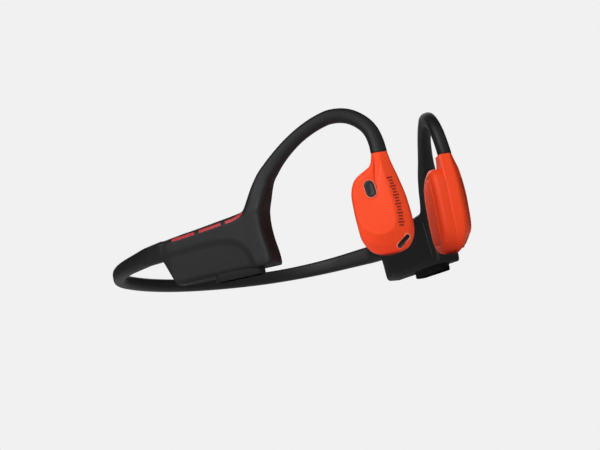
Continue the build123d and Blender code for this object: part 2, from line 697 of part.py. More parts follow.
with BuildPart() as driver_coil_right:
    coil_top = TRANSDUCER_FACE.offset(-CUP_TOP - COIL_SINK)
    press(coil_top, block_shape(DRIVER, COIL_WIDE, COIL_LONG, 1.2), COIL_TALL)
    coil_hollow = block_shape(DRIVER, COIL_WIDE - 2 * COIL_WALL, COIL_LONG - 2 * COIL_WALL, 0.8)
    press(coil_top, coil_hollow, COIL_TALL, Mode.SUBTRACT)
finish("driver_coil_right", driver_coil_right.part)
with BuildPart() as driver_spring_right:
    spring_top = TRANSDUCER_FACE.offset(-SPRING_TOP)
    press(spring_top, block_shape(DRIVER, DRIVER_WIDE, DRIVER_LONG, 2.0), SPRING_THICK)
    for place in (-SPRING_WINDOW_OFFSET, SPRING_WINDOW_OFFSET):
        window = block_shape(
            (DRIVER[0] + place, DRIVER[1]), SPRING_WINDOW_WIDE, SPRING_WINDOW_LONG, 0.3
        )
        press(spring_top, window, SPRING_THICK, Mode.SUBTRACT)
finish("driver_spring_right", driver_spring_right.part)
with BuildPart() as driver_bridge_right:
    bridge = block_shape(DRIVER, BRIDGE_WIDE, BRIDGE_LONG, 0.6)
    press(TRANSDUCER_FACE.offset(-BRIDGE_TOP), bridge, TRANSDUCER_DEPTH - PAD_THICK - BRIDGE_TOP)
finish("driver_bridge_right", driver_bridge_right.part)
with BuildPart() as microphone_right:
    microphone = block_shape(MICROPHONE_PLACE, MICROPHONE_LONG, MICROPHONE_WIDE)
    press(TRANSDUCER_FACE.offset(-BEVEL_DEPTH - SHELL_WALL), microphone, MICROPHONE_TALL)
finish("microphone_right", microphone_right.part)

# function button on the right transducer, with a light ring round it and a switch behind it
with BuildPart() as function_button:
    cap = slot_shape(BUTTON, BUTTON_LONG, BUTTON_WIDE, BUTTON_TURN)
    press(TRANSDUCER_FACE.offset(BUTTON_PROUD), cap, BUTTON_HEIGHT)
    fillet(edge_faces(function_button, TRANSDUCER_FACE)[-1].edges(), radius=BUTTON_ROUND)
    stem = disc_shape(BUTTON, BUTTON_STEM_RADIUS)
    press(TRANSDUCER_FACE.offset(BUTTON_PROUD - BUTTON_HEIGHT), stem, BUTTON_STEM)
finish("function_button", function_button.part)
with BuildPart() as function_light_ring:
    inner_long, inner_wide = BUTTON_LONG + 2 * BUTTON_GAP, BUTTON_WIDE + 2 * BUTTON_GAP
    outer = slot_shape(BUTTON, inner_long + 2 * RING_WIDTH, inner_wide + 2 * RING_WIDTH, BUTTON_TURN)
    press(TRANSDUCER_FACE, outer, RING_WIDTH)
    inner = slot_shape(BUTTON, inner_long, inner_wide, BUTTON_TURN)
    press(TRANSDUCER_FACE, inner, RING_WIDTH, Mode.SUBTRACT)
finish("function_light_ring", function_light_ring.part)
with BuildPart() as function_switch:
    switch_long, switch_wide, switch_tall = BUTTON_SWITCH
    switch = block_shape(BUTTON, switch_wide, switch_long, 0.3)
    press(TRANSDUCER_FACE.offset(-BUTTON_SWITCH_DEPTH), switch, switch_tall)
    board_long, board_wide, board_thick = BUTTON_BOARD
    board = block_shape(BUTTON, board_wide, board_long, 0.8)
    press(TRANSDUCER_FACE.offset(-BUTTON_SWITCH_DEPTH - switch_tall), board, board_thick)
finish("function_switch", function_switch.part)

# -------------------------------------------------------------------------------------- left side
with BuildPart() as pod_outer_shell_left:
    mirror(outer_shell("left"), about=Plane.YZ)
finish("pod_outer_shell_left", pod_outer_shell_left.part)
for name in (
    "neckband_sleeve", "pod_inner_cover", "pod_gasket", "light_bars", "light_board",
    "ear_hook_sleeve", "ear_hook_wire", "transducer_inner_shell", "transducer_pad", "vent_mesh",
    "driver_cup", "driver_magnet", "driver_coil", "driver_spring", "driver_bridge", "microphone",
):
    with BuildPart() as mirrored:
        mirror(finished[f"{name}_right"], about=Plane.YZ)
    finish(f"{name}_left", mirrored.part)
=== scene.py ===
"""Bone conduction headphones: moulded skins, finishes, soft light and a camera round the frame.

Sizes are in millimetres and shapes are drawn for the wearer's right side, then carried over to
the left side by a mirror. Every finished mesh is in metres, in the frame's own coordinates.
"""

import logging
from collections.abc import Callable, Sequence
from dataclasses import dataclass, field
from enum import Enum
from math import atan2, cos, hypot, pi, radians, sin

import bmesh
import bpy
from mathutils import Matrix, Vector
from mathutils.bvhtree import BVHTree


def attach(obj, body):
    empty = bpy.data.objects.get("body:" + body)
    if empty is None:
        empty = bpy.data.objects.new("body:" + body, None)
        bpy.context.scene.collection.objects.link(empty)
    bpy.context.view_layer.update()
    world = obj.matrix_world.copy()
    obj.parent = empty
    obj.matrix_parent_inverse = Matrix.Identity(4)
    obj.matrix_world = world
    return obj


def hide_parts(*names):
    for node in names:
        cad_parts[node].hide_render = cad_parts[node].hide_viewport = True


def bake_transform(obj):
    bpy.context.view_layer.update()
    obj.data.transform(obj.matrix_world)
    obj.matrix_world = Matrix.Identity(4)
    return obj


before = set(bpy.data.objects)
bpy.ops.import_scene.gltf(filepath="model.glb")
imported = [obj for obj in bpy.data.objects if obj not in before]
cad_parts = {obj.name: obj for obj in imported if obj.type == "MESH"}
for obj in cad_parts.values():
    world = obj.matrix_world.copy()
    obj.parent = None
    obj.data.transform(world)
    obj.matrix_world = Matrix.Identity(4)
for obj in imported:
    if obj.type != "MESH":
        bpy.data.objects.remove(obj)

logging.basicConfig(level=logging.INFO, format="%(message)s")
log = logging.getLogger("headphones")

MM = 0.001
ROUND_CRISP = 60.0
TUCK = 0.14
ASIDE = Vector((1.0, 0.0, 0.0))


# ------------------------------------------------------------------------- sides and planes
class Side(Enum):
    """The two sides of the wearer's head."""

    RIGHT = 1
    LEFT = -1

    @property
    def word(self) -> str:
        """The side's name as the CAD nodes spell it."""
        return self.name.lower()

    @property
    def body(self) -> str:
        """The CAD body that carries this side's pod, hook and transducer."""
        return f"{self.word}_side"

    def place(self, point: Vector) -> Vector:
        """A right-hand point or direction taken to this side."""
        return Vector((point.x * self.value, point.y, point.z))


@dataclass(frozen=True)
class WallPlane:
    """An upright plane beside the head: ahead runs forward, up rises, depth goes inwards.

    Attributes:
        origin: the plane's corner, in millimetres.
        toe: how far the plane's front end turns in towards the head, in degrees.
        lean: how far its outward normal tips up, in degrees.
    """

    origin: Vector
    toe: float
    lean: float = 0.0

    @property
    def outward(self) -> Vector:
        """Unit normal, away from the head."""
        turn, tip = radians(self.toe), radians(self.lean)
        return Vector((-cos(turn) * cos(tip), -sin(turn) * cos(tip), sin(tip)))

    @property
    def ahead(self) -> Vector:
        """Unit direction towards the front."""
        turn = radians(self.toe)
        return Vector((sin(turn), -cos(turn), 0.0))

    @property
    def upward(self) -> Vector:
        """Unit direction up the plane."""
        return self.outward.cross(self.ahead)

    def at(self, ahead: float, up: float, depth: float = 0.0) -> Vector:
        """The point that far ahead, up and in from the plane's origin."""
        return self.origin + self.ahead * ahead + self.upward * up - self.outward * depth


@dataclass
class Trail:
    """A line of straights and arcs walked on a flat sheet.

    Attributes:
        heading: present direction, in degrees anticlockwise from the sheet's x.
        step: distance between the points that are kept.
        points: the points so far.
    """

    heading: float
    step: float = 0.8
    points: list[tuple[float, float]] = field(default_factory=lambda: [(0.0, 0.0)])

    def straight(self, length: float) -> "Trail":
        """Walk straight on."""
        count = max(1, round(length / self.step))
        x, y = self.points[-1]
        along = (cos(radians(self.heading)), sin(radians(self.heading)))
        for k in range(1, count + 1):
            far = length * k / count
            self.points.append((x + along[0] * far, y + along[1] * far))
        return self

    def arc(self, radius: float, turn: float) -> "Trail":
        """Walk round an arc, to the left where turn is positive."""
        hand = 1 if turn > 0 else -1
        start = radians(self.heading - 90 * hand)
        x, y = self.points[-1]
        middle = (x - radius * cos(start), y - radius * sin(start))
        count = max(2, round(radius * radians(abs(turn)) / self.step))
        for k in range(1, count + 1):
            angle = start + radians(turn) * k / count
            self.points.append((middle[0] + radius * cos(angle), middle[1] + radius * sin(angle)))
        self.heading += turn
        return self


def smooth_through(
    keys: Sequence[Sequence[float]], count: int, closed: bool = False
) -> list[list[float]]:
    """Points on a smooth curve through some keys, in any number of dimensions.

    Args:
        keys: the points to pass through; their first three numbers set the spacing.
        count: how many points to return.
        closed: whether the curve comes back to its first key.

    Returns:
        The points, evenly spread by distance between keys.
    """
    rows = [list(k) for k in keys]
    total = len(rows)
    ring = rows + [rows[0]] if closed else rows
    at = [0.0]
    for a, b in zip(ring, ring[1:]):
        gap = sum((p - q) ** 2 for p, q in zip(a[:3], b[:3])) ** 0.5
        at.append(at[-1] + max(gap, 1e-6))

    def slope(i: int) -> list[float]:
        """Rate of change at one key, from its neighbours."""
        if closed:
            before, after = rows[(i - 1) % total], rows[(i + 1) % total]
            onward = at[i + 1] - at[i] if i < total else at[1]
            reach = onward + (at[i] - at[i - 1] if i else at[-1] - at[-2])
        else:
            low, high = max(i - 1, 0), min(i + 1, total - 1)
            before, after, reach = rows[low], rows[high], at[high] - at[low]
        return [(q - p) / reach for p, q in zip(before, after)]

    out = []
    spans = len(ring) - 1
    k = 0
    for j in range(count):
        t = at[-1] * j / (count if closed else count - 1)
        while k < spans - 1 and t > at[k + 1]:
            k += 1
        width = at[k + 1] - at[k]
        u = min(1.0, (t - at[k]) / width)
        a, b = ring[k], ring[k + 1]
        ma, mb = slope(k), slope((k + 1) % total if closed else k + 1)
        h00, h10 = 2 * u**3 - 3 * u**2 + 1, u**3 - 2 * u**2 + u
        h01, h11 = -2 * u**3 + 3 * u**2, u**3 - u**2
        out.append([
            h00 * p + h10 * width * m + h01 * q + h11 * width * n
            for p, m, q, n in zip(a, ma, b, mb)
        ])
    return out


def ease(value: float, low: float, high: float) -> float:
    """Smooth step from 0 at low to 1 at high."""
    t = min(1.0, max(0.0, (value - low) / (high - low)))
    return t * t * (3 - 2 * t)


def line_distance(line: Sequence[Sequence[float]], x: float, y: float) -> float:
    """Signed distance from a point to an open line, positive on the line's left."""
    best, sign = 1e9, 1.0
    for (ax, ay), (bx, by) in zip(line, line[1:]):
        ux, uy = bx - ax, by - ay
        t = min(1.0, max(0.0, ((x - ax) * ux + (y - ay) * uy) / (ux * ux + uy * uy)))
        gap = hypot(x - ax - ux * t, y - ay - uy * t)
        if gap < best:
            best, sign = gap, 1.0 if ux * (y - ay) - uy * (x - ax) > 0 else -1.0
    return best * sign


# --------------------------------------------------------------------------------- mesh work
def make_object(
    name: str, points: Sequence[Vector], faces: Sequence[Sequence[int]]
) -> bpy.types.Object:
    """A new mesh object in the scene, still in millimetres."""
    mesh = bpy.data.meshes.new(name)
    mesh.from_pydata([tuple(p) for p in points], [], [tuple(f) for f in faces])
    piece = bpy.data.objects.new(name, mesh)
    bpy.context.scene.collection.objects.link(piece)
    return piece


def loft(name: str, rings: Sequence[Sequence[Vector]]) -> bpy.types.Object:
    """A closed skin through rings of equal length, with a fan of faces over each end."""
    width = len(rings[0])
    points = [p for ring in rings for p in ring]
    faces = []
    for i in range(len(rings) - 1):
        for j in range(width):
            k = (j + 1) % width
            faces.append((i * width + j, i * width + k, (i + 1) * width + k, (i + 1) * width + j))
    for ring, base in ((rings[0], 0), (rings[-1], (len(rings) - 1) * width)):
        hub = len(points)
        points.append(sum(ring, Vector()) / width)
        faces += [(base + j, base + (j + 1) % width, hub) for j in range(width)]
    piece = make_object(name, points, faces)
    face_outwards(piece)
    return piece


def face_outwards(piece: bpy.types.Object) -> None:
    """Turn every face outwards on a closed mesh."""
    work = bmesh.new()
    work.from_mesh(piece.data)
    bmesh.ops.remove_doubles(work, verts=work.verts, dist=1e-5)
    bmesh.ops.recalc_face_normals(work, faces=work.faces)
    work.to_mesh(piece.data)
    work.free()


def surface_tree(piece: bpy.types.Object) -> BVHTree:
    """A search tree over a piece's faces, for laying things on it."""
    work = bmesh.new()
    work.from_mesh(piece.data)
    tree = BVHTree.FromBMesh(work)
    work.free()
    return tree


def bake_modifiers(piece: bpy.types.Object) -> None:
    """Turn a piece's modifiers into its plain mesh and take them off."""
    bpy.context.view_layer.update()
    graph = bpy.context.evaluated_depsgraph_get()
    mesh = bpy.data.meshes.new_from_object(piece.evaluated_get(graph), depsgraph=graph)
    piece.modifiers.clear()
    piece.data = mesh


def carve(piece: bpy.types.Object, cutter: bpy.types.Object) -> None:
    """Cut one closed mesh out of another and throw the cutter away."""
    cut = piece.modifiers.new("Carve", "BOOLEAN")
    cut.operation = "DIFFERENCE"
    cut.solver = "EXACT"
    cut.object = cutter
    bake_modifiers(piece)
    bpy.data.objects.remove(cutter, do_unlink=True)


def weld_skin(pieces: Sequence[bpy.types.Object], grain: float, soften: int) -> bpy.types.Object:
    """Weld overlapping closed meshes into one even skin.

    Args:
        pieces: the meshes; the first one keeps its name.
        grain: size of the skin's squares, in millimetres.
        soften: how many rounds of smoothing follow.

    Returns:
        The welded piece.
    """
    first = pieces[0]
    work = bmesh.new()
    for piece in pieces:
        work.from_mesh(piece.data)
    work.to_mesh(first.data)
    work.free()
    for piece in pieces[1:]:
        bpy.data.objects.remove(piece, do_unlink=True)
    weld = first.modifiers.new("Weld", "REMESH")
    weld.mode = "VOXEL"
    weld.voxel_size = grain
    calm = first.modifiers.new("Soften", "SMOOTH")
    calm.factor = 0.5
    calm.iterations = soften
    bake_modifiers(first)
    return first


def soften_where(piece: bpy.types.Object, weight: Callable[[Vector], float], rounds: int) -> None:
    """Smooth a mesh by a weight that depends on the place."""
    group = piece.vertex_groups.new(name="soften")
    for vertex in piece.data.vertices:
        share = weight(vertex.co)
        if share > 0.01:
            group.add([vertex.index], share, "REPLACE")
    calm = piece.modifiers.new("Soften here", "SMOOTH")
    calm.factor = 0.5
    calm.iterations = rounds
    calm.vertex_group = group.name
    bake_modifiers(piece)
    piece.vertex_groups.clear()


def slot_ring(
    middle: tuple[float, float], long: float, wide: float, turn: float, count: int = 48
) -> list[tuple[float, float]]:
    """Points round a slot-shaped outline.

    Args:
        middle: its centre on the plane.
        long: overall length.
        wide: overall width.
        turn: direction of its length, in degrees.
        count: how many points, a multiple of two.

    Returns:
        The points on the plane, in order.
    """
    reach = (long - wide) / 2
    c, s = cos(radians(turn)), sin(radians(turn))
    out = []
    for end in (0, 1):
        for k in range(count // 2):
            angle = pi * k / (count // 2 - 1) - pi / 2 + pi * end
            x = (reach if end == 0 else -reach) + wide / 2 * cos(angle)
            y = wide / 2 * sin(angle)
            out.append((middle[0] + x * c - y * s, middle[1] + x * s + y * c))
    return out


# ---------------------------------------------------------------------------- geometry nodes
class TreeBench:
    """A bench for building one geometry node tree.

    Attributes:
        tree: the node tree.
        entry: its group input node.
    """

    def __init__(self, name: str, sizes: Sequence[tuple[str, str]]) -> None:
        """Start a tree with a geometry input, named sizes and a material input.

        Args:
            name: the tree's name.
            sizes: name and socket type of each size.
        """
        self.tree = bpy.data.node_groups.new(name, "GeometryNodeTree")
        face = self.tree.interface
        face.new_socket("Geometry", in_out="INPUT", socket_type="NodeSocketGeometry")
        for label, kind in sizes:
            face.new_socket(label, in_out="INPUT", socket_type=kind)
        face.new_socket("Material", in_out="INPUT", socket_type="NodeSocketMaterial")
        face.new_socket("Geometry", in_out="OUTPUT", socket_type="NodeSocketGeometry")
        self.entry = self.tree.nodes.new("NodeGroupInput")

    def node(self, kind: str, *feeds: object, **settings: object) -> bpy.types.Node:
        """A node with its settings made and its inputs fed in order; None leaves an input alone."""
        made = self.tree.nodes.new(kind)
        for key, value in settings.items():
            setattr(made, key, value)
        shown = [s for s in made.inputs if s.enabled]
        for socket, feed in zip(shown, feeds):
            if isinstance(feed, bpy.types.NodeSocket):
                self.tree.links.new(feed, socket)
            elif feed is not None:
                socket.default_value = feed
        return made

    def sum(self, operation: str, *feeds: object) -> bpy.types.NodeSocket:
        """Output of a math node."""
        return self.node("ShaderNodeMath", *feeds, operation=operation).outputs[0]

    def named(self, name: str, kind: str = "FLOAT") -> bpy.types.NodeSocket:
        """Output that reads a named attribute."""
        made = self.node("GeometryNodeInputNamedAttribute", name, data_type=kind)
        return next(s for s in made.outputs if s.enabled)

    def close(self, shape: bpy.types.NodeSocket) -> bpy.types.NodeTree:
        """End the tree in Realize Instances and Set Material."""
        real = self.node("GeometryNodeRealizeInstances", shape)
        finish = self.entry.outputs["Material"]
        dressed = self.node("GeometryNodeSetMaterial", real.outputs[0], None, finish)
        leave = self.tree.nodes.new("NodeGroupOutput")
        self.tree.links.new(dressed.outputs[0], leave.inputs[0])
        return self.tree


@dataclass
class SweptSkin:
    """A tree that wraps a closed skin round a line whose points carry their own section.

    Each point of the line has the attributes out and ahead (the section's two directions),
    half_out and half_ahead (its half sizes) and square (below 1 makes it boxier).
    """

    tree: bpy.types.NodeTree | None = None

    def build(self) -> bpy.types.NodeTree:
        """Build the tree once."""
        if self.tree:
            return self.tree
        bench = TreeBench("Swept skin", [("Sides", "NodeSocketInt")])
        place = bench.node("GeometryNodeInputPosition").outputs[0]
        marked = bench.node(
            "GeometryNodeStoreNamedAttribute",
            bench.entry.outputs["Geometry"], None, "middle", place,
            data_type="FLOAT_VECTOR", domain="POINT",
        )
        line = bench.node("GeometryNodeMeshToCurve", marked.outputs[0])
        sides = bench.entry.outputs["Sides"]
        circle = bench.node("GeometryNodeCurvePrimitiveCircle", sides, mode="RADIUS")
        share = bench.node("GeometryNodeSplineParameter").outputs["Factor"]
        rim = bench.node(
            "GeometryNodeStoreNamedAttribute", circle.outputs[0], None, "round", share,
            data_type="FLOAT", domain="POINT",
        )
        skin = bench.node("GeometryNodeCurveToMesh", line.outputs[0], rim.outputs[0])
        skin.inputs["Fill Caps"].default_value = True
        angle = bench.sum("MULTIPLY", bench.named("round"), 2 * pi)
        reach = []
        for wave, half, way in (("COSINE", "half_out", "out"), ("SINE", "half_ahead", "ahead")):
            raw = bench.sum(wave, angle)
            bent = bench.sum("POWER", bench.sum("ABSOLUTE", raw), bench.named("square"))
            signed = bench.sum("MULTIPLY", bench.sum("SIGN", raw), bent)
            size = bench.sum("MULTIPLY", signed, bench.named(half))
            course = bench.named(way, "FLOAT_VECTOR")
            arm = bench.node("ShaderNodeVectorMath", course, operation="SCALE")
            bench.tree.links.new(size, arm.inputs["Scale"])
            reach.append(arm.outputs[0])
        both = bench.node("ShaderNodeVectorMath", reach[0], reach[1], operation="ADD").outputs[0]
        spot = bench.node(
            "ShaderNodeVectorMath", bench.named("middle", "FLOAT_VECTOR"), both, operation="ADD"
        ).outputs[0]
        moved = bench.node("GeometryNodeSetPosition", skin.outputs[0], None, spot)
        self.tree = bench.close(moved.outputs[0])
        return self.tree


@dataclass
class BarRow:
    """A tree that sets a small bar on each point of a line, every third one longer.

    Each point has the attributes out (the bar's height) and ahead (its width).
    """

    tree: bpy.types.NodeTree | None = None

    def build(self) -> bpy.types.NodeTree:
        """Build the tree once."""
        if self.tree:
            return self.tree
        bench = TreeBench(
            "Bar row", [("Bar", "NodeSocketVector"), ("Short Share", "NodeSocketFloat")]
        )
        bar = bench.node("GeometryNodeMeshCube", bench.entry.outputs["Bar"])
        turn = bench.node(
            "FunctionNodeAxesToRotation", bench.named("out", "FLOAT_VECTOR"),
            bench.named("ahead", "FLOAT_VECTOR"), primary_axis="Z", secondary_axis="X",
        )
        index = bench.node("GeometryNodeInputIndex").outputs[0]
        lead = bench.sum("COMPARE", bench.sum("MODULO", index, 3.0), 0.0, 0.1)
        short = bench.entry.outputs["Short Share"]
        slack = bench.sum("SUBTRACT", 1.0, short)
        stretch = bench.sum("ADD", bench.sum("MULTIPLY", lead, slack), short)
        scale = bench.node("ShaderNodeCombineXYZ", 1.0, stretch, 1.0).outputs[0]
        row = bench.node("GeometryNodeInstanceOnPoints")
        feeds = (
            ("Points", bench.entry.outputs["Geometry"]), ("Instance", bar.outputs[0]),
            ("Rotation", turn.outputs[0]), ("Scale", scale),
        )
        for label, feed in feeds:
            bench.tree.links.new(feed, row.inputs[label])
        self.tree = bench.close(row.outputs[0])
        return self.tree


@dataclass
class Station:
    """One section of a swept skin: where it is, its two directions, half sizes and squareness."""

    middle: Vector
    out: Vector
    ahead: Vector
    half_out: float
    half_ahead: float
    square: float = 1.0

    def row(self) -> list[float]:
        """The station as one row of numbers."""
        return [*self.middle, *self.out, *self.ahead, self.half_out, self.half_ahead, self.square]

    @classmethod
    def from_row(cls, row: Sequence[float]) -> "Station":
        """A station from one row of numbers, its directions made square and unit again."""
        out = Vector(row[3:6]).normalized()
        ahead = Vector(row[6:9])
        ahead = (ahead - out * ahead.dot(out)).normalized()
        return cls(Vector(row[0:3]), out, ahead, *row[9:12])

    def ring(self, count: int) -> list[Vector]:
        """Points round the section."""
        points = []
        for k in range(count):
            c, s = cos(2 * pi * k / count), sin(2 * pi * k / count)
            c = abs(c) ** self.square * (1 if c > 0 else -1)
            s = abs(s) ** self.square * (1 if s > 0 else -1)
            across, along = self.out * self.half_out * c, self.ahead * self.half_ahead * s
            points.append(self.middle + across + along)
        return points


SWEPT_SKIN = SweptSkin()
BAR_ROW = BarRow()


def run_tree(
    name: str,
    stations: Sequence[Station],
    side: Side,
    tree: bpy.types.NodeTree,
    sizes: dict[str, object],
    material: bpy.types.Material,
    joined: bool = True,
) -> bpy.types.Object:
    """Build a piece by a geometry node tree from stations along a line.

    Args:
        name: the piece's name.
        stations: the line's points with their sections, right-hand side.
        side: the side the piece is for.
        tree: the tree to run.
        sizes: its named inputs.
        material: the piece's material.
        joined: whether the line's points are joined by edges.

    Returns:
        The piece as a plain mesh, in millimetres.
    """
    mesh = bpy.data.meshes.new(name)
    edges = [(k, k + 1) for k in range(len(stations) - 1)] if joined else []
    mesh.from_pydata([tuple(side.place(s.middle)) for s in stations], edges, [])
    for key in ("out", "ahead"):
        data = mesh.attributes.new(key, "FLOAT_VECTOR", "POINT").data
        for entry, station in zip(data, stations):
            entry.vector = side.place(getattr(station, key))
    for key in ("half_out", "half_ahead", "square"):
        data = mesh.attributes.new(key, "FLOAT", "POINT").data
        for entry, station in zip(data, stations):
            entry.value = getattr(station, key)
    piece = bpy.data.objects.new(name, mesh)
    bpy.context.scene.collection.objects.link(piece)
    nodes = piece.modifiers.new(tree.name, "NODES")
    nodes.node_group = tree
    wanted = {**sizes, "Material": material}
    for item in tree.interface.items_tree:
        if item.in_out == "INPUT" and item.name in wanted:
            nodes[item.identifier] = wanted[item.name]
    bake_modifiers(piece)
    for key in ("out", "ahead", "half_out", "half_ahead", "square", "middle", "round"):
        if key in piece.data.attributes:
            piece.data.attributes.remove(piece.data.attributes[key])
    face_outwards(piece)
    return piece


# --------------------------------------------------------------------------------- finishes
def linear(level: float) -> float:
    """A 0-255 screen level as a linear value."""
    share = level / 255
    return share / 12.92 if share <= 0.04045 else ((share + 0.055) / 1.055) ** 2.4


EDGE_STARTS = 0.52
EDGE_FULL = 0.6
WORN_GAIN = 1.7
WORN_LIFT = 0.03
GLOSS_BELOW = 0.05
GLOSS_ABOVE = 0.06
BUMP_STRENGTH = 0.5


@dataclass(frozen=True)
class Finish:
    """A moulded or metal finish with fine grain, cloudy tone and worn edges.

    Attributes:
        name: the material's name.
        tone: screen colour, 0 to 255.
        gloss: roughness where the surface is plain.
        cloud: how much the tone varies, as a share.
        cloud_size: size of the clouds in millimetres.
        grain_size: size of the surface grain in millimetres.
        grain: height of the grain in millimetres.
        wear: how much edges lighten.
        metal: metallic share.
        through: share of light that passes under the surface.
        shine: strength of the plain reflection.
    """

    name: str
    tone: tuple[int, int, int]
    gloss: float
    cloud: float = 0.08
    cloud_size: float = 6.0
    grain_size: float = 0.35
    grain: float = 0.012
    wear: float = 0.1
    metal: float = 0.0
    through: float = 0.0
    shine: float = 0.5

    def material(self) -> bpy.types.Material:
        """The finish's material, built on first use."""
        ready = bpy.data.materials.get(self.name)
        if ready:
            return ready
        made = bpy.data.materials.new(self.name)
        made.use_nodes = True
        nodes, links = made.node_tree.nodes, made.node_tree.links
        shader = nodes["Principled BSDF"]
        place = nodes.new("ShaderNodeTexCoord").outputs["Object"]

        def noise(size: float, detail: float) -> bpy.types.NodeSocket:
            """Output of a noise texture of that size in millimetres."""
            made_noise = nodes.new("ShaderNodeTexNoise")
            made_noise.inputs["Scale"].default_value = 1 / (size * MM)
            made_noise.inputs["Detail"].default_value = detail
            links.new(place, made_noise.inputs["Vector"])
            return made_noise.outputs["Fac"]

        cloud, grain = noise(self.cloud_size, 3.0), noise(self.grain_size, 2.0)
        base = [linear(c) for c in self.tone]
        tint = nodes.new("ShaderNodeMix")
        tint.data_type = "RGBA"
        tint.inputs["A"].default_value = (*[c * (1 - self.cloud) for c in base], 1)
        tint.inputs["B"].default_value = (*[min(1, c * (1 + self.cloud)) for c in base], 1)
        links.new(cloud, tint.inputs["Factor"])
        edge = nodes.new("ShaderNodeMapRange")
        edge.inputs["From Min"].default_value = EDGE_STARTS
        edge.inputs["From Max"].default_value = EDGE_FULL
        edge.inputs["To Max"].default_value = self.wear
        links.new(nodes.new("ShaderNodeNewGeometry").outputs["Pointiness"], edge.inputs["Value"])
        worn = nodes.new("ShaderNodeMix")
        worn.data_type = "RGBA"
        worn.inputs["B"].default_value = (*[min(1, c * WORN_GAIN + WORN_LIFT) for c in base], 1)
        links.new(edge.outputs["Result"], worn.inputs["Factor"])
        links.new(tint.outputs["Result"], worn.inputs["A"])
        links.new(worn.outputs["Result"], shader.inputs["Base Color"])
        rough = nodes.new("ShaderNodeMapRange")
        rough.inputs["To Min"].default_value = self.gloss - GLOSS_BELOW
        rough.inputs["To Max"].default_value = self.gloss + GLOSS_ABOVE
        links.new(cloud, rough.inputs["Value"])
        links.new(rough.outputs["Result"], shader.inputs["Roughness"])
        bump = nodes.new("ShaderNodeBump")
        bump.inputs["Strength"].default_value = BUMP_STRENGTH
        bump.inputs["Distance"].default_value = self.grain * MM
        links.new(grain, bump.inputs["Height"])
        links.new(bump.outputs["Normal"], shader.inputs["Normal"])
        shader.inputs["Metallic"].default_value = self.metal
        shader.inputs["Specular IOR Level"].default_value = self.shine
        shader.inputs["Subsurface Weight"].default_value = self.through
        shader.inputs["Subsurface Scale"].default_value = MM
        return made


SOFT_BLACK = Finish(
    "soft black silicone", (16, 16, 17), 0.56, cloud=0.05, grain=0.005, wear=0.05, shine=0.36
)
POD_BLACK = Finish(
    "satin black moulding", (16, 16, 17), 0.56, cloud=0.05, grain=0.005, wear=0.05, shine=0.36
)
PANEL_BLACK = Finish("inner panel black", (14, 14, 15), 0.55, grain=0.01, grain_size=0.25, shine=0.36)
SEAL_GREY = Finish("seal grey", (64, 64, 66), 0.6)
LIGHT_RED = Finish("light bar red", (176, 44, 52), 0.4, wear=0.05, through=0.1)
ORANGE = Finish("orange moulding", (252, 74, 26), 0.5, cloud=0.02, grain=0.004, wear=0.06, shine=0.3)
ORANGE_PAD = Finish(
    "orange skin pad", (250, 74, 28), 0.58, cloud=0.03, grain=0.008, grain_size=0.2, shine=0.3
)
MARK_RED = Finish("printed dark red", (140, 26, 10), 0.5, cloud=0.1, wear=0.0)
RING_PALE = Finish("light ring", (214, 104, 78), 0.35, through=0.1)
RIM_PALE = Finish("vent rim", (236, 130, 96), 0.4)
BUTTON_GREY = Finish("button grey", (34, 34, 37), 0.42, grain=0.003, shine=0.4)
KEY_BLACK = Finish("key rubber", (12, 12, 13), 0.62, grain=0.01, shine=0.3)
VENT_BLACK = Finish("vent mesh black", (18, 18, 19), 0.55)
BOARD_GREEN = Finish("circuit board", (22, 74, 52), 0.4, cloud=0.25, cloud_size=1.5)
STEEL = Finish("bright steel", (190, 192, 196), 0.28, metal=1.0)
SPRING = Finish("spring wire", (150, 152, 156), 0.32, metal=1.0)
COPPER = Finish("copper winding", (196, 110, 66), 0.35, metal=1.0, grain=0.03, grain_size=0.15)
GOLD = Finish("contact gold", (226, 182, 96), 0.24, metal=1.0)
FOIL = Finish("battery foil", (176, 178, 182), 0.38, metal=0.7, grain=0.04, grain_size=1.2)
SWITCH_BLACK = Finish("switch black", (30, 30, 32), 0.5)


def settle(
    piece: bpy.types.Object, finish: Finish, crisp: float = 180.0
) -> bpy.types.Object:
    """Finish a piece: metres, shading, material and material slot.

    Args:
        piece: the piece, in millimetres.
        finish: its finish.
        crisp: edges sharper than this many degrees shade sharp.

    Returns:
        The same piece.
    """
    piece.data.transform(Matrix.Scale(MM, 4))
    piece.data.materials.clear()
    piece.data.materials.append(finish.material())
    piece.data.shade_smooth()
    if crisp < 180:
        piece.data.set_sharp_from_angle(angle=radians(crisp))
    log.info("%s: %d faces, %s", piece.name, len(piece.data.polygons), finish.name)
    return piece


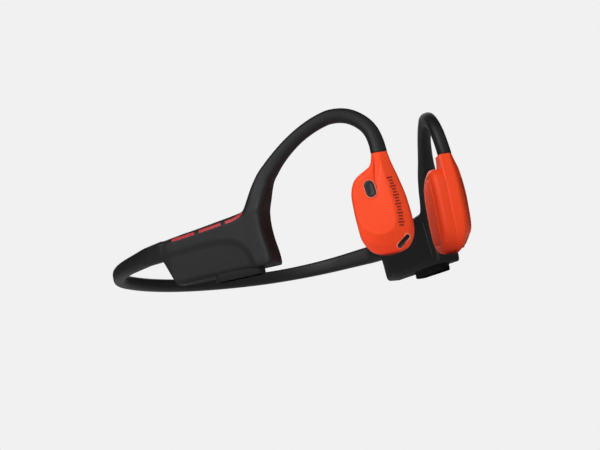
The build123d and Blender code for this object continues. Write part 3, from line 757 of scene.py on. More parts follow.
# --------------------------------------------------------------------------------- neckband
@dataclass
class Neckband:
    """The band behind the neck, in two halves, one running to each side."""

    rear: Vector = field(default_factory=lambda: Vector((0, 58.509, 11.8)))
    tilt: float = 3.0
    rear_radius: float = 92.0
    rear_angle: float = 21.7
    corner_radius: float = 38.0
    corner_angle: float = 51.3
    side_length: float = 10.4
    root_radius: float = 14.0
    root_angle: float = 33.0
    deep: float = 3.88
    widest: float = 61.85
    tall: float = 4.4
    end_deep: float = 5.0
    end_tall: float = 6.8
    wire: float = 1.2
    tail: float = 3.0
    square: float = 0.62
    tail_share: float = 0.9
    bend_from: tuple[float, float, float] = (-34.0, 52.0, 12.0)
    bend_to: tuple[float, float, float] = (-56.5, 26.5, 13.5)
    sleeve_sides: int = 40
    wire_sides: int = 16

    @property
    def toe(self) -> float:
        """How far each pod turns in towards the head, in degrees."""
        return self.rear_angle + self.corner_angle + self.root_angle - 90

    def lift(self, x: float, y: float) -> Vector:
        """A point on the band's tilted plane."""
        tip = radians(self.tilt)
        return self.rear + Vector((x, y * cos(tip), -y * sin(tip)))

    def line(self) -> list[Vector]:
        """The centre line of the right half, from the middle of the neck to the pod."""
        trail = Trail(180.0, step=1.1)
        trail.arc(self.rear_radius, self.rear_angle)
        trail.arc(self.corner_radius, self.corner_angle)
        trail.straight(self.side_length)
        trail.arc(self.root_radius, self.root_angle)
        return [self.lift(x, y) for x, y in trail.points]

    def stations(self, grow: bool = True) -> list[Station]:
        """Sections along the right half; a growing one swells towards the pod."""
        line = self.line()
        along = [0.0]
        for a, b in zip(line, line[1:]):
            along.append(along[-1] + (b - a).length)
        start = self.rear_radius * radians(self.rear_angle)
        stations = []
        for k, point in enumerate(line):
            run = line[min(k + 1, len(line) - 1)] - line[max(k - 1, 0)]
            if k == 0:
                run = Vector((-1, 0, 0))
            run.normalize()
            out = Vector((-run.y, run.x, 0)).normalized() * -1
            share = max(0.0, (along[k] - start) / (along[-1] - start)) ** 2 if grow else 0.0
            deep = self.deep + (self.end_deep - self.deep) * share
            tall = self.tall + (self.end_tall - self.tall) * share
            square = self.square if grow else 1.0
            if not grow:
                deep = tall = self.wire
            over = max(0.0, abs(point.x) + deep / 2 - self.widest)
            middle = point + ASIDE * over
            stations.append(Station(middle, out, run.cross(out), deep / 2, tall / 2, square))
        last = stations[-1]
        run = (line[-1] - line[-2]).normalized()
        shrink = self.tail_share if grow else 1
        tail = Station(
            last.middle + run * self.tail, last.out, last.ahead,
            last.half_out * shrink, last.half_ahead * shrink, last.square,
        )
        return [*stations, tail]

    def build(self) -> None:
        """Make both halves of the sleeve and of the wire inside it."""
        tree = SWEPT_SKIN.build()
        for side in Side:
            bend_start = side.place(Vector(self.bend_from)) * MM
            bend_end = side.place(Vector(self.bend_to)) * MM
            sleeve = run_tree(
                f"neckband_skin_{side.word}", self.stations(), side, tree, {"Sides": self.sleeve_sides},
                SOFT_BLACK.material(),
            )
            settle(sleeve, SOFT_BLACK, ROUND_CRISP)
            side.body
            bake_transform(sleeve)
            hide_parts(f"neckband_sleeve_{side.word}", "neckband_rear_sleeve")
            core = run_tree(
                f"neckband_core_{side.word}", self.stations(False), side, tree, {"Sides": self.wire_sides},
                SPRING.material(),
            )
            settle(core, SPRING, ROUND_CRISP)
            side.body
            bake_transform(core)
            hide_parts("neckband_wire")


# --------------------------------------------------------------------------- pods and hooks
@dataclass
class PodAndHook:
    """One side's pod and the ear hook that grows out of it, as one moulded skin."""

    side: Side
    wall: WallPlane
    depth: float = 9.8
    land_middle: float = 34.6
    land_height: float = 23.6
    hook_toe: float = 42.3
    hook_lean: float = 7.0
    leg_angle: float = 60.0
    leg_length: float = 3.9
    rise: tuple[float, float] = (51.4, -24.0)
    crown: tuple[float, float] = (38.0, -17.6)
    brow: tuple[float, float] = (12.3, -103.8)
    drop: float = 3.6
    twist_share: float = 0.35
    grain: float = 0.3
    # along, bottom, top, outer face, inner face
    sections: tuple[tuple[float, ...], ...] = (
        (-2.2, 11.9, 16.8, 1.2, 4.6),
        (-0.5, 10.9, 17.55, 0.6, 5.3),
        (0.4, 5.6, 17.7, 0.4, 5.8),
        (1.4, 2.4, 17.8, 0.2, 6.2),
        (3.0, 2.1, 18.0, 0.0, 7.0),
        (8.0, 2.1, 18.6, 0.0, 8.8),
        (13.0, 2.1, 19.1, 0.0, 9.6),
        (19.0, 2.1, 19.8, 0.0, 9.8),
        (25.4, 2.1, 20.6, 0.0, 9.8),
        (30.0, 2.2, 21.3, 0.0, 9.8),
        (34.0, 2.4, 22.0, 0.1, 9.7),
    )
    # height, rear edge, front edge, outer face, inner face, squareness
    column: tuple[tuple[float, ...], ...] = (
        (2.3, 30.0, 39.0, 0.2, 9.6, 0.3),
        (3.4, 30.0, 39.2, 0.0, 9.8, 0.3),
        (6.7, 30.0, 38.9, 0.0, 9.8, 0.3),
        (11.0, 30.0, 38.1, 0.0, 9.8, 0.32),
        (15.5, 30.2, 37.7, 0.0, 9.8, 0.36),
        (19.5, 29.9, 38.0, 0.0, 9.7, 0.42),
        (21.8, 31.3, 38.7, 0.1, 9.5, 0.46),
    )
    # share of the hook's line, width across the head, width along it, squareness
    taper: tuple[tuple[float, ...], ...] = (
        (0.14, 7.1, 5.6, 0.54),
        (0.22, 5.9, 5.2, 0.58),
        (0.3, 5.0, 4.9, 0.66),
        (0.42, 4.5, 4.6, 0.72),
        (0.55, 4.3, 4.7, 0.76),
        (0.7, 4.3, 4.9, 0.78),
        (0.85, 4.5, 5.0, 0.82),
        (0.93, 4.6, 5.2, 0.86),
        (1.0, 4.7, 5.5, 0.88),
    )
    panel_edge: tuple[tuple[float, float], ...] = (
        (-1.0, 13.3), (1.3, 13.4), (6.0, 13.8), (11.2, 14.1), (16.0, 14.3), (20.5, 14.2),
        (25.0, 13.6), (28.2, 12.3), (30.6, 10.4), (32.2, 8.0), (33.2, 5.4), (33.9, 3.0), (34.3, 0.0),
    )
    bars: tuple[tuple[tuple[float, float], ...], ...] = (
        ((4.6, 17.0), (9.0, 17.3), (13.2, 17.7)),
        ((14.9, 17.8), (19.0, 18.2), (23.2, 18.7)),
        ((24.8, 18.8), (27.4, 19.1), (29.6, 19.8), (31.3, 20.9)),
    )
    bar_width: float = 1.15
    slant_top: tuple[float, float] = (-0.1, 10.9)
    slant_foot: tuple[float, float] = (4.1, 1.1)
    foot_middle: float = 26.0
    foot_inset: float = 3.4
    foot_length: float = 17.6
    foot_width: float = 4.4
    foot_height: float = 2.9
    foot_edge: float = 0.35
    # half pitch, length and width of the wells in the foot pad
    key_wells: tuple[float, float, float] = (3.9, 6.7, 2.7)
    contact_wells: tuple[float, float, float] = (2.5, 2.35, 2.3)
    # bend radius at the section's four corners, from the inner top one round
    corner_radii: tuple[float, ...] = (2.6, 1.5, 1.3, 2.2)
    corner_steps: int = 8
    corner_limit: float = 0.92
    body_count: int = 60
    hook_keys: int = 14
    hook_count: int = 190
    hook_sides: int = 48
    weld_rounds: int = 3
    root_rounds: int = 60
    root_weight: float = 0.95
    # along and up of each softened place, and the radii where it is full and none
    root_rear: tuple[float, float, float, float] = (30.6, 21.8, 3.0, 8.5)
    root_front: tuple[float, float, float, float] = (38.6, 24.6, 1.5, 5.0)
    root_front_squash: float = 0.8
    # how far the fallen panel reaches: along, up and into the skin
    panel_reach: tuple[float, float, float] = (36.0, 16.0, 3.0)
    panel_step: float = 0.3
    panel_run: float = 2.6
    panel_slope: float = 0.05
    wedge_far: tuple[float, float] = (-9.0, -6.0)
    wedge_depths: tuple[float, float] = (-5.0, 15.0)
    bar_count: int = 26
    bar_half_height: float = 0.18
    bar_square: float = 0.35
    bar_sides: int = 24
    cover_outline: tuple[tuple[float, float], ...] = (
        (5.8, 3.0), (10.0, 2.9), (20.0, 2.9), (30.0, 3.0), (35.6, 3.4), (36.2, 5.0),
        (35.2, 10.0), (34.4, 15.0), (33.4, 17.6), (30.0, 18.6), (20.0, 18.0), (12.0, 17.2),
        (7.4, 16.4), (5.0, 14.6), (4.2, 11.0), (4.8, 6.0),
    )
    cover_middle: tuple[float, float] = (20.0, 10.6)
    # inset, rise and share of the way in to the middle
    cover_profile: tuple[tuple[float, float, float], ...] = (
        (0.0, -0.9, 0.0), (0.0, 0.22, 0.0), (0.12, 0.36, 0.0), (0.34, 0.42, 0.0), (0.6, 0.43, 0.2),
        (0.6, 0.44, 0.4), (0.6, 0.45, 0.6), (0.6, 0.46, 0.8), (0.6, 0.46, 0.96),
    )
    cover_count: int = 120
    cover_sink: float = 0.25
    # how much the cover thins at its rear end, and between which places
    cover_thins: tuple[float, float, float] = (1.9, 3.0, 14.0)

    @property
    def hook_plane(self) -> WallPlane:
        """The leaning plane that the hook lies in."""
        origin = self.wall.at(self.land_middle, self.land_height, self.depth / 2)
        return WallPlane(origin, self.hook_toe, self.hook_lean)

    def hook_trail(self) -> list[tuple[float, float]]:
        """The hook's centre line on its own plane."""
        trail = Trail(self.leg_angle, step=0.6)
        trail.straight(self.leg_length)
        trail.arc(*self.rise)
        trail.arc(*self.crown)
        trail.arc(*self.brow)
        trail.straight(self.drop)
        return trail.points

    def hook_end(self) -> Vector:
        """Where the hook meets the transducer's neck."""
        return self.hook_plane.at(*self.hook_trail()[-1])

    def pod_rings(self) -> list[list[Vector]]:
        """Sections of the pod's body, from the band to the hook's foot."""
        rings = []
        for along, low, high, outer, inner in smooth_through(self.sections, self.body_count):
            middle_up, middle_in = (low + high) / 2, (outer + inner) / 2
            half_up, half_in = (high - low) / 2, (inner - outer) / 2
            ring = []
            for k, radius in enumerate(self.corner_radii):
                bend = min(radius, half_up * self.corner_limit, half_in * self.corner_limit)
                start = 90 - 90 * k
                x_sign = 1 if k in (0, 1) else -1
                y_sign = 1 if k in (0, 3) else -1
                for step in range(self.corner_steps + 1):
                    angle = radians(start - 90 * step / self.corner_steps)
                    out = x_sign * (half_in - bend) + bend * cos(angle)
                    up = y_sign * (half_up - bend) + bend * sin(angle)
                    ring.append(self.wall.at(along, middle_up + up, middle_in - out))
            rings.append(ring)
        return rings

    def column_stations(self) -> list[Station]:
        """Sections up the pod's front end and along the hook, to the transducer."""
        keys = []
        for height, rear, front, outer, inner, square in self.column:
            middle = self.wall.at((rear + front) / 2, height, (outer + inner) / 2)
            keys.append(Station(
                middle, self.wall.outward, self.wall.ahead,
                (inner - outer) / 2, (front - rear) / 2, square,
            ))
        trail = self.hook_trail()
        plane = self.hook_plane
        along = [0.0]
        for a, b in zip(trail, trail[1:]):
            along.append(along[-1] + hypot(b[0] - a[0], b[1] - a[1]))
        shares = [t[0] for t in self.taper]
        count = self.hook_keys
        for step in range(count + 1):
            share = shares[0] + (1 - shares[0]) * step / count
            k = min(range(len(along)), key=lambda i: abs(along[i] - share * along[-1]))
            near, far = trail[max(k - 1, 0)], trail[min(k + 1, len(trail) - 1)]
            heading = atan2(far[1] - near[1], far[0] - near[0])
            if step == count:
                heading = -pi / 2
            across = plane.ahead * sin(heading) - plane.upward * cos(heading)
            row = self.taper_at(share)
            turn = ease(share, 0.0, self.twist_share)
            out = self.wall.outward.lerp(plane.outward, turn).normalized()
            if step == count:
                out = Vector((out.x, out.y, 0)).normalized()
                across = -Vector((plane.ahead.x, plane.ahead.y, 0)).normalized()
            keys.append(Station(plane.at(*trail[k]), out, across, row[0] / 2, row[1] / 2, row[2]))
        rows = smooth_through([s.row() for s in keys], self.hook_count)
        return [Station.from_row(r) for r in rows]

    def taper_at(self, share: float) -> list[float]:
        """Widths and squareness of the hook's section at a share of its line."""
        for low, high in zip(self.taper, self.taper[1:]):
            if share <= high[0] + 1e-6:
                t = (share - low[0]) / (high[0] - low[0])
                return [a + (b - a) * t for a, b in zip(low[1:], high[1:])]
        return list(self.taper[-1][1:])

    def junction(self, point: Vector) -> float:
        """How strongly the skin is softened at a place: most where the hook leaves the pod."""
        across = self.side.place(point) - self.wall.origin
        along, up = across.dot(self.wall.ahead), across.z
        x, y, full, none = self.root_rear
        rear = 1 - ease(hypot(along - x, up - y), full, none)
        x, y, full, none = self.root_front
        front = 1 - ease(hypot((along - x) * self.root_front_squash, up - y), full, none)
        return max(rear, front) * self.root_weight

    def press_panel(self, piece: bpy.types.Object) -> None:
        """Let the outer face fall back inside the panel's edge, towards the bottom."""
        line = smooth_through(self.panel_edge, 40)
        far, high, deep = self.panel_reach
        for vertex in piece.data.vertices:
            across = self.side.place(vertex.co) - self.wall.origin
            along, up = across.dot(self.wall.ahead), across.z
            depth = -across.dot(self.wall.outward)
            if depth > deep or up > high or along > far:
                continue
            inside = -line_distance(line, along, up)
            if inside <= 0:
                continue
            fall = self.panel_step * ease(inside, 0.0, self.panel_run) + self.panel_slope * inside
            vertex.co -= self.side.place(self.wall.outward) * fall * (1 - ease(depth, 1.0, deep))

    def rear_wedge(self) -> bpy.types.Object:
        """The wedge that slants the pod's rear end back under the band."""
        back, below = self.wedge_far
        corners = (
            (back, self.slant_top[1]), self.slant_top, self.slant_foot,
            (self.slant_foot[0], below), (back, below),
        )
        rings = [
            [self.side.place(self.wall.at(x, y, depth)) for x, y in corners]
            for depth in self.wedge_depths
        ]
        return loft("wedge", rings)

    def skin(self) -> bpy.types.Object:
        """The pod and hook as one welded skin."""
        place = self.side.place
        word = self.side.word
        body = loft(f"pod_and_hook_{word}", [[place(p) for p in ring] for ring in self.pod_rings()])
        carve(body, self.rear_wedge())
        hook = loft("hook", [[place(p) for p in s.ring(self.hook_sides)] for s in self.column_stations()])
        piece = weld_skin([body, hook], self.grain, self.weld_rounds)
        soften_where(piece, self.junction, self.root_rounds)
        self.press_panel(piece)
        return piece

    def bar_stations(self, keys: Sequence[tuple[float, float]], tree: BVHTree) -> list[Station]:
        """Sections of one light bar, laid on the skin."""
        stations = []
        inwards = self.side.place(-self.wall.outward)
        for along, up in smooth_through(keys, self.bar_count):
            start = self.side.place(self.wall.at(along, up, -6.0))
            hit, normal, _, _ = tree.ray_cast(start, inwards)
            if hit is not None:
                stations.append((self.side.place(hit), self.side.place(normal)))
        made = []
        for k, (hit, normal) in enumerate(stations):
            run = stations[min(k + 1, len(stations) - 1)][0] - stations[max(k - 1, 0)][0]
            across = normal.cross(run.normalized())
            made.append(Station(
                hit - normal * TUCK, normal, across,
                self.bar_half_height, self.bar_width / 2, self.bar_square,
            ))
        return made

    def foot(self) -> bpy.types.Object:
        """The pad under the pod, with the keys' or contacts' wells."""

        def place(x: float, y: float, up: float) -> Vector:
            """A point of the pad, from its middle."""
            return self.side.place(self.wall.at(self.foot_middle + x, up, self.foot_inset + y))

        def drum(
            name: str, rings: Sequence[tuple[float, float, float]], middle: tuple[float, float]
        ) -> bpy.types.Object:
            """A slot-shaped drum from rings of length, width and height."""
            made = []
            for long, wide, up in rings:
                made.append([place(x, y, up) for x, y in slot_ring(middle, long, wide, 0.0)])
            return loft(name, made)

        edge = self.foot_edge
        pad = drum(
            f"foot_pad_{self.side.word}",
            (
                (self.foot_length, self.foot_width, self.foot_height),
                (self.foot_length, self.foot_width, edge),
                (self.foot_length - 0.2, self.foot_width - 0.2, 0.1),
                (self.foot_length - 2 * edge, self.foot_width - 2 * edge, 0.0),
            ),
            (0.0, 0.0),
        )
        half, long, wide = self.key_wells if self.side is Side.RIGHT else self.contact_wells
        for step in (-1, 1):
            rings = ((long, wide, 4.0), (long, wide, -1.0))
            carve(pad, drum("well", rings, (step * half, 0.0)))
        return pad

    def inner_panel(self) -> bpy.types.Object:
        """The cover on the side that faces the head."""
        outline = smooth_through(self.cover_outline, self.cover_count, closed=True)
        middle = self.cover_middle
        thin, low, high = self.cover_thins
        rings = []
        for inset, rise, share in self.cover_profile:
            ring = []
            for x, y in outline:
                away = Vector((x - middle[0], y - middle[1]))
                spot = Vector(middle) + away * (1 - inset / away.length) * (1 - share)
                thinner = thin * (1 - ease(spot.x, low, high))
                depth = self.depth - thinner - self.cover_sink + rise
                ring.append(self.side.place(self.wall.at(spot.x, spot.y, depth)))
            rings.append(ring)
        return loft(f"inner_panel_{self.side.word}", rings)

    def build(self) -> None:
        """Make the skin, light bars, foot pad and inner panel."""
        word = self.side.word
        skin = self.skin()
        tree = surface_tree(skin)
        for count, keys in enumerate(self.bars, 1):
            bar = run_tree(
                f"light_bar_{word}_{count}", self.bar_stations(keys, tree), self.side,
                SWEPT_SKIN.build(), {"Sides": self.bar_sides}, LIGHT_RED.material(),
            )
            settle(bar, LIGHT_RED, 50)
            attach(bar, self.side.body)
            if count == 1:
                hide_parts(f"light_bars_{word}")
        settle(skin, POD_BLACK)
        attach(skin, self.side.body)
        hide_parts(f"pod_outer_shell_{word}", f"pod_gasket_{word}", f"ear_hook_sleeve_{word}")
        pad = settle(self.foot(), KEY_BLACK, 35)
        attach(pad, self.side.body)
        panel = settle(self.inner_panel(), PANEL_BLACK, ROUND_CRISP)
        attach(panel, self.side.body)
        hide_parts(f"pod_inner_cover_{word}")


# ------------------------------------------------------------------------------- transducers
@dataclass
class Transducer:
    """One side's transducer: a bevelled outer shell, a rounded inner shell and a skin pad."""

    side: Side
    face: WallPlane
    count: int = 150
    shell_depth: float = 7.4
    depth: float = 12.4
    crease: float = 0.4
    # ahead, up and depth of each outline, from the neck's rear corner round to its front corner
    flat_edge: tuple[tuple[float, float, float], ...] = (
        (-1.9, -0.05, 2.3), (-2.1, -2.2, 1.65), (-2.9, -4.6, 0.94), (-4.8, -6.3, 0.44),
        (-7.25, -7.9, 0.0), (-9.15, -9.9, 0.0), (-10.45, -13.0, 0.0), (-10.55, -17.0, 0.0),
        (-10.15, -21.6, 0.0), (-8.45, -25.2, 0.0), (-4.45, -27.5, 0.0), (-0.95, -27.0, 0.0),
        (1.35, -25.0, 0.0), (1.85, -19.9, 0.0), (1.35, -13.3, 0.0), (0.3, -5.3, 0.74),
        (0.1, -2.6, 1.53), (0.2, -0.05, 2.3),
    )
    bevel_edge: tuple[tuple[float, float, float], ...] = (
        (-2.5, 0.0, 3.4), (-2.82, -2.2, 2.5), (-3.65, -4.3, 1.8), (-5.63, -5.8, 1.2),
        (-7.96, -7.2, 0.7), (-9.85, -9.3, 0.7), (-11.0, -12.6, 0.7), (-11.05, -17.0, 0.7),
        (-10.7, -22.2, 0.8), (-9.6, -27.2, 1.4), (-6.6, -30.0, 2.1), (-1.55, -30.9, 2.5),
        (4.1, -29.4, 2.7), (6.4, -24.6, 2.8), (5.65, -14.6, 2.8), (4.15, -8.0, 2.9),
        (2.84, -3.0, 3.2), (2.5, 0.0, 3.6),
    )
    wall_edge: tuple[tuple[float, float, float], ...] = (
        (-2.7, 0.0, 4.0), (-3.03, -2.0, 3.4), (-3.97, -4.1, 2.8), (-5.95, -5.5, 2.2),
        (-8.27, -6.9, 2.0), (-10.15, -9.0, 1.9), (-11.3, -12.5, 1.9), (-11.4, -17.0, 1.9),
        (-11.05, -22.4, 2.2), (-10.15, -28.2, 3.2), (-7.15, -32.2, 4.6), (-1.75, -33.4, 5.3),
        (4.7, -31.9, 5.1), (7.2, -27.0, 4.2), (6.65, -17.0, 3.9), (5.05, -9.6, 3.9),
        (3.39, -3.6, 3.8), (2.7, 0.0, 4.2),
    )
    # the inner shell's outline below the neck
    egg: tuple[tuple[float, float], ...] = (
        (-1.04, -4.4), (-4.28, -5.2), (-7.97, -7.0), (-10.15, -9.6), (-11.25, -13.0),
        (-11.35, -17.4), (-10.85, -23.6), (-9.75, -28.6), (-6.95, -32.1), (-1.75, -33.45),
        (4.3, -32.0), (7.0, -27.4), (6.45, -17.4), (5.15, -9.8), (2.95, -5.6),
    )
    middle: tuple[float, float] = (-2.6, -19.0)
    neck_foot: float = -7.8
    button: tuple[float, float] = (-4.9, -12.0)
    button_long: float = 5.4
    button_wide: float = 3.1
    button_turn: float = 98.0
    vent: tuple[float, float] = (3.1, -30.4)
    vent_long: float = 5.6
    vent_wide: float = 1.7
    vent_turn: float = 38.0
    square_inset: float = 3.3
    centre_reach: float = 6.0

    def point(self, ahead: float, up: float, depth: float) -> Vector:
        """A point of this side's transducer."""
        return self.side.place(self.face.at(ahead, up, depth))

    def profile(self, keys: Sequence[Vector]) -> list[Vector]:
        """A broken line with its corners eased by the crease size."""
        out = [keys[0]]
        for before, at, after in zip(keys, keys[1:], keys[2:]):
            left, right = before - at, after - at
            a = at + left.normalized() * min(self.crease, left.length * 0.45)
            b = at + right.normalized() * min(self.crease, right.length * 0.45)
            for k in range(4):
                t = k / 3
                out.append(a * (1 - t) ** 2 + at * 2 * t * (1 - t) + b * t * t)
        out.append(keys[-1])
        return out

    def shell(self) -> bpy.types.Object:
        """The outer shell: flat face, bevels, straight wall and neck."""
        edges = [
            [Vector(p) for p in smooth_through(keys, self.count)]
            for keys in (self.flat_edge, self.bevel_edge, self.wall_edge)
        ]
        rows = []
        for flat, bevel, wall in zip(*edges):
            level = max(self.middle[1], min(self.neck_foot, flat.y * 0.9))
            spine = -1.2 - 3.4 * ease(-level, 3.0, 13.0)
            hub = Vector((spine + (flat.x - spine) * 0.08, level, 0.0))
            keys = [
                hub, flat, bevel, wall,
                Vector((wall.x, wall.y, self.shell_depth - 0.35)),
                Vector((wall.x * 0.97 - 0.1, wall.y * 0.985 - 0.25, self.shell_depth)),
            ]
            rows.append(self.profile(keys))
        rings = [[self.point(*row[k]) for row in rows] for k in range(1, len(rows[0]))]
        return loft(f"transducer_skin_{self.side.word}", rings)

    def egg_rings(
        self, profile: Sequence[tuple[float, float]], middle: tuple[float, float]
    ) -> list[list[Vector]]:
        """Rings of the egg outline, each inset and at a depth."""
        outline = smooth_through(self.egg, 120, closed=True)
        rings = []
        for inset, depth in profile:
            ring = []
            for k, (x, y) in enumerate(outline):
                before, after = outline[k - 1], outline[(k + 1) % len(outline)]
                run = Vector((after[0] - before[0], after[1] - before[1])).normalized()
                inward = Vector((-run.y, run.x))
                if inward.dot(Vector((middle[0] - x, middle[1] - y))) < 0:
                    inward = -inward
                spot = Vector((x, y)) + inward * min(inset, self.square_inset)
                centre = Vector(middle)
                rest = max(0.0, inset - self.square_inset) / self.centre_reach
                spot = spot.lerp(centre, rest)
                ring.append(self.point(spot.x, spot.y, depth))
            rings.append(ring)
        return rings

    def inner_shell(self) -> bpy.types.Object:
        """The rounded shell on the side that faces the head."""
        deep = self.depth - 0.6
        profile = [(0.6, 6.8), (0.12, 7.3), (0.0, 7.7)]
        bend = 2.2
        for k in range(7):
            angle = radians(90 * k / 6)
            profile.append((bend * (1 - cos(angle)), deep - bend * (1 - sin(angle))))
        profile += [(2.9, deep + 0.02), (3.1, deep - 0.3), (4.2, deep - 0.5)]
        return loft(f"inner_skin_{self.side.word}", self.egg_rings(profile, self.middle))

    def pad(self) -> bpy.types.Object:
        """The soft pad that rests on the cheekbone, slightly crowned."""
        high = self.depth - 0.05
        profile = [
            (3.3, high - 1.6), (3.2, high - 0.75), (3.35, high - 0.4), (3.7, high - 0.2),
            (4.4, high - 0.1), (5.6, high - 0.05), (6.8, high - 0.02), (8.2, high),
        ]
        return loft(f"skin_pad_{self.side.word}", self.egg_rings(profile, self.middle))

    def drum(
        self, name: str, middle: tuple[float, float], turn: float,
        rings: Sequence[tuple[float, float, float]],
    ) -> bpy.types.Object:
        """A slot-shaped drum from rings of length, width and depth."""
        made = []
        for long, wide, depth in rings:
            made.append([self.point(x, y, depth) for x, y in slot_ring(middle, long, wide, turn)])
        return loft(name, made)

    def surface(self, tree: BVHTree, ahead: float, up: float) -> tuple[Vector, Vector]:
        """Where a spot of the outline lies on the shell, with its normal, right-hand side."""
        inwards = self.side.place(-self.face.outward)
        hit, normal, _, _ = tree.ray_cast(self.point(ahead, up, -5.0), inwards)
        if hit is None:
            return self.face.at(ahead, up), self.face.outward
        return self.side.place(hit), self.side.place(normal)

    def laid_line(
        self, tree: BVHTree, spots: Sequence[tuple[float, float]], half_out: float, half_wide: float
    ) -> list[Station]:
        """Stations along a line of spots laid on the shell."""
        found = [self.surface(tree, x, y) for x, y in spots]
        made = []
        for k, (hit, normal) in enumerate(found):
            run = (found[min(k + 1, len(found) - 1)][0] - found[max(k - 1, 0)][0]).normalized()
            across = normal.cross(run).normalized()
            made.append(Station(hit, normal, across, half_out, half_wide, 0.6))
        return made

    def mark_spots(self) -> list[tuple[float, float]]:
        """Spots down the middle of the front bevel, for the printed ticks."""
        keys = ((2.0, -9.2), (2.9, -13.6), (3.4, -18.0), (3.5, -22.0), (3.3, -25.4))
        return [tuple(p) for p in smooth_through(keys, 17)]

    def build(self) -> None:
        """Make every piece of this transducer."""
        word, body = self.side.word, self.side.body
        shell = self.shell()
        tree = surface_tree(shell)
        vent_ring = slot_ring(self.vent, self.vent_long, self.vent_wide, self.vent_turn, 64)
        rim_line = self.laid_line(tree, [*vent_ring, vent_ring[0], vent_ring[1]], 0.14, 0.24)
        ticks = self.laid_line(tree, self.mark_spots(), 0.05, 0.2)
        c, s = cos(radians(self.vent_turn)), sin(radians(self.vent_turn))
        reach = (self.vent_long - self.vent_wide) / 2
        slat_spots = [
            (self.vent[0] + c * reach * t, self.vent[1] + s * reach * t)
            for t in [k / 5 - 1 for k in range(11)]
        ]
        slats = self.laid_line(tree, slat_spots, 0.1, 0.1)
        carve(shell, self.drum("well", self.vent, self.vent_turn, (
            (self.vent_long, self.vent_wide, -2.0), (self.vent_long, self.vent_wide, 4.6),
        )))
        if self.side is Side.RIGHT:
            long, wide = self.button_long + 0.2, self.button_wide + 0.2
            carve(shell, self.drum("well", self.button, self.button_turn, (
                (long + 0.7, wide + 0.7, -2.0), (long + 0.7, wide + 0.7, 0.36),
            )))
            carve(shell, self.drum("well", self.button, self.button_turn, (
                (long, wide, -2.0), (long, wide, 4.0),
            )))
            self.function_button()
        settle(shell, ORANGE, 40)
        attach(shell, body)
        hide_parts(f"transducer_shell_{word}")
        inner = settle(self.inner_shell(), ORANGE, ROUND_CRISP)
        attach(inner, body)
        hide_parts(f"transducer_inner_shell_{word}")
        pad = settle(self.pad(), ORANGE_PAD, ROUND_CRISP)
        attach(pad, body)
        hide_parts(f"transducer_pad_{word}")
        rim = run_tree(
            f"vent_rim_{word}", rim_line, self.side, SWEPT_SKIN.build(), {"Sides": 12},
            RIM_PALE.material(),
        )
        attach(settle(rim, RIM_PALE, ROUND_CRISP), body)
        long, wide = self.vent_long - 0.05, self.vent_wide - 0.05
        rings = ((long, wide, 4.5), (long, wide, 4.0))
        backing = self.drum(f"vent_backing_{word}", self.vent, self.vent_turn, rings)
        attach(settle(backing, VENT_BLACK, 40), body)
        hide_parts(f"vent_mesh_{word}")
        row = [Station(p.middle - p.out * 0.7, p.out, -p.ahead.cross(p.out), 0, 0) for p in slats]
        grille = run_tree(
            f"vent_grille_{word}", row, self.side, BAR_ROW.build(),
            {"Bar": (0.12, self.vent_wide * 0.96, 0.12), "Short Share": 1.0},
            VENT_BLACK.material(), False,
        )
        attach(settle(grille, VENT_BLACK, 40), body)
        row = [Station(p.middle, p.out, -p.ahead.cross(p.out), 0, 0) for p in ticks]
        marks = run_tree(
            f"printed_ticks_{word}", row, self.side, BAR_ROW.build(),
            {"Bar": (0.55, 2.3, 0.08), "Short Share": 0.7}, MARK_RED.material(), False,
        )
        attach(settle(marks, MARK_RED, 40), body)

    def function_button(self) -> None:
        """The slightly dished button on the right transducer."""
        long, wide, top = self.button_long, self.button_wide, -0.1
        rings = [(long, wide, 1.5), (long, wide, top + 0.35)]
        for k in range(1, 5):
            angle = radians(90 * k / 4)
            inset = 0.35 * (1 - cos(angle)) * 2
            rings.append((long - inset, wide - inset, top + 0.35 * (1 - sin(angle))))
        for shrink, sink in ((1.2, 0.02), (1.8, 0.07), (2.4, 0.11), (2.9, 0.13)):
            rings.append((long - shrink, wide - shrink, top + sink))
        button = self.drum("function_button_cap", self.button, self.button_turn, rings)
        settle(button, BUTTON_GREY, 50)
        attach(button, "function_key")
        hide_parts("function_button")


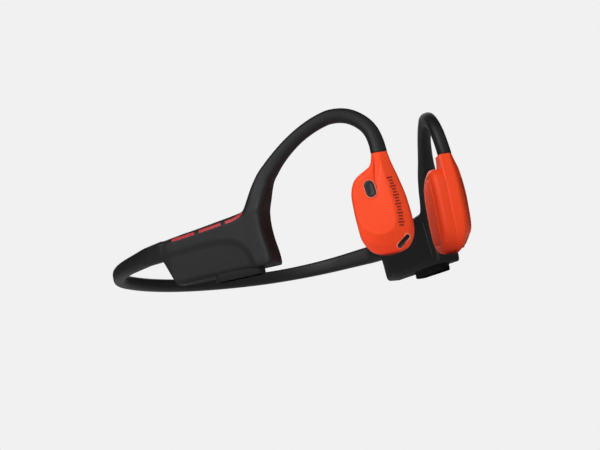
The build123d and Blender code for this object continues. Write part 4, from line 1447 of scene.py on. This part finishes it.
# ----------------------------------------------------------------------------------- studio
@dataclass
class Studio:
    """Floor, soft light, background and camera."""

    background: float = 241.0
    look_from: tuple[float, float, float] = (-0.7921, -0.6501, -0.1206)
    look_at: tuple[float, float, float] = (0.0, -0.00075, 0.021)
    lens: float = 180.0
    floor_size: float = 2.4
    floor_drop: float = -0.0002
    even_share: float = 0.7
    ambient: float = 0.27
    # name, place, size in metres and power in watts of each lamp
    lamps: tuple[tuple[str, tuple[float, float, float], float, float], ...] = (
        ("key lamp", (-1.0, -0.22, 0.62), 0.8, 13.0),
        ("fill lamp", (0.2, -1.0, 0.7), 0.8, 2.0),
        ("back lamp", (0.8, 0.75, 0.6), 0.8, 6.0),
    )

    def floor(self) -> None:
        """A pale, mostly even floor that is seen from above only and keeps a light shadow."""
        half = self.floor_size / 2
        spots = ((-half, -half), (half, -half), (half, half), (-half, half))
        corners = [Vector((x, y, self.floor_drop)) for x, y in spots]
        piece = make_object("studio_floor", corners, [(0, 1, 2, 3)])
        made = bpy.data.materials.new("studio floor")
        made.use_nodes = True
        nodes, links = made.node_tree.nodes, made.node_tree.links
        pale = linear(self.background)
        shader = nodes["Principled BSDF"]
        shader.inputs["Base Color"].default_value = (pale, pale, pale, 1)
        shader.inputs["Roughness"].default_value = 0.9
        shader.inputs["Specular IOR Level"].default_value = 0.0
        even = nodes.new("ShaderNodeEmission")
        even.inputs["Color"].default_value = (pale, pale, pale, 1)
        share = nodes.new("ShaderNodeMath")
        share.operation = "MULTIPLY"
        share.inputs[1].default_value = self.even_share
        links.new(nodes.new("ShaderNodeLightPath").outputs["Is Camera Ray"], share.inputs[0])
        calm = nodes.new("ShaderNodeMixShader")
        links.new(share.outputs[0], calm.inputs[0])
        links.new(shader.outputs[0], calm.inputs[1])
        links.new(even.outputs[0], calm.inputs[2])
        clear = nodes.new("ShaderNodeBsdfTransparent")
        mix = nodes.new("ShaderNodeMixShader")
        links.new(nodes.new("ShaderNodeNewGeometry").outputs["Backfacing"], mix.inputs[0])
        links.new(calm.outputs[0], mix.inputs[1])
        links.new(clear.outputs[0], mix.inputs[2])
        links.new(mix.outputs[0], nodes["Material Output"].inputs["Surface"])
        piece.data.materials.append(made)

    def world(self) -> None:
        """Even ambient light, with a pale background for the camera."""
        world = bpy.data.worlds.new("studio world")
        bpy.context.scene.world = world
        world.use_nodes = True
        nodes, links = world.node_tree.nodes, world.node_tree.links
        shade = nodes["Background"]
        shade.inputs["Strength"].default_value = self.ambient
        seen = nodes.new("ShaderNodeBackground")
        pale = linear(self.background)
        seen.inputs["Color"].default_value = (pale, pale, pale, 1)
        path = nodes.new("ShaderNodeLightPath")
        mix = nodes.new("ShaderNodeMixShader")
        links.new(path.outputs["Is Camera Ray"], mix.inputs[0])
        links.new(shade.outputs[0], mix.inputs[1])
        links.new(seen.outputs[0], mix.inputs[2])
        links.new(mix.outputs[0], nodes["World Output"].inputs["Surface"])

    def lamp(self, name: str, spot: tuple[float, float, float], size: float, power: float) -> None:
        """A soft square lamp aimed at the object."""
        light = bpy.data.lights.new(name, "AREA")
        light.size = size
        light.energy = power
        holder = bpy.data.objects.new(name, light)
        bpy.context.scene.collection.objects.link(holder)
        holder.location = spot
        aim = Vector(self.look_at) - Vector(spot)
        holder.rotation_euler = aim.to_track_quat("-Z", "Y").to_euler()

    def camera(self) -> None:
        """The camera, level with the horizon tipped slightly up."""
        lens = bpy.data.cameras.new("camera")
        lens.lens = self.lens
        lens.sensor_width = 36.0
        lens.clip_start = 0.05
        holder = bpy.data.objects.new("camera", lens)
        bpy.context.scene.collection.objects.link(holder)
        sight = (Vector(self.look_at) - Vector(self.look_from)).normalized()
        lens_up = Vector((0.0, -0.213, 0.977))
        right = sight.cross(lens_up).normalized()
        up = right.cross(sight)
        turn = Matrix((right, up, -sight)).transposed().to_4x4()
        holder.matrix_world = Matrix.Translation(Vector(self.look_from)) @ turn
        bpy.context.scene.camera = holder

    def build(self) -> None:
        """Set the whole studio up."""
        self.floor()
        self.world()
        for name, spot, size, power in self.lamps:
            self.lamp(name, spot, size, power)
        self.camera()
        bpy.context.scene.view_settings.view_transform = "Standard"


NODE_FINISHES = (
    ("switch_board", BOARD_GREEN), ("light_board", BOARD_GREEN), ("main_board", BOARD_GREEN),
    ("battery_board", BOARD_GREEN), ("wire", SPRING), ("sleeve", SOFT_BLACK), ("battery", FOIL),
    ("contact", GOLD), ("coil", COPPER), ("magnet", STEEL), ("driver", STEEL),
    ("light_ring", RING_PALE),
    ("light_bars", LIGHT_RED), ("function_button", BUTTON_GREY), ("switch", SWITCH_BLACK),
    ("volume", KEY_BLACK), ("vent", VENT_BLACK), ("microphone", STEEL), ("gasket", SEAL_GREY),
    ("transducer", ORANGE), ("pod", POD_BLACK),
)


def dress_nodes() -> None:
    """Give every CAD node the finish that suits its name."""
    for name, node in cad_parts.items():
        finish = next(finish for word, finish in NODE_FINISHES if word in name)
        node.data.materials.clear()
        node.data.materials.append(finish.material())
        log.info("%s: kept, %s", name, finish.name)


BAND_INSET = 2.7
TRANSDUCER_TOE = 38.0
NECK_DEPTH = 4.7


def main() -> None:
    """Build the headphones' visible pieces and the studio."""
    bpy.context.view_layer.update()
    dress_nodes()
    band = Neckband()
    band.build()
    band_end = band.line()[-1]
    outward = WallPlane(Vector(), band.toe).outward
    corner = band_end + outward * BAND_INSET
    wall = WallPlane(Vector((corner.x, corner.y, 0.0)), band.toe)
    for side in Side:
        pod = PodAndHook(side, wall)
        pod.build()
        neck = pod.hook_end()
        away = WallPlane(Vector(), TRANSDUCER_TOE).outward
        face = WallPlane(neck + away * NECK_DEPTH, TRANSDUCER_TOE)
        Transducer(side, face).build()
    Studio().build()


if __name__ == "__main__":
    main()
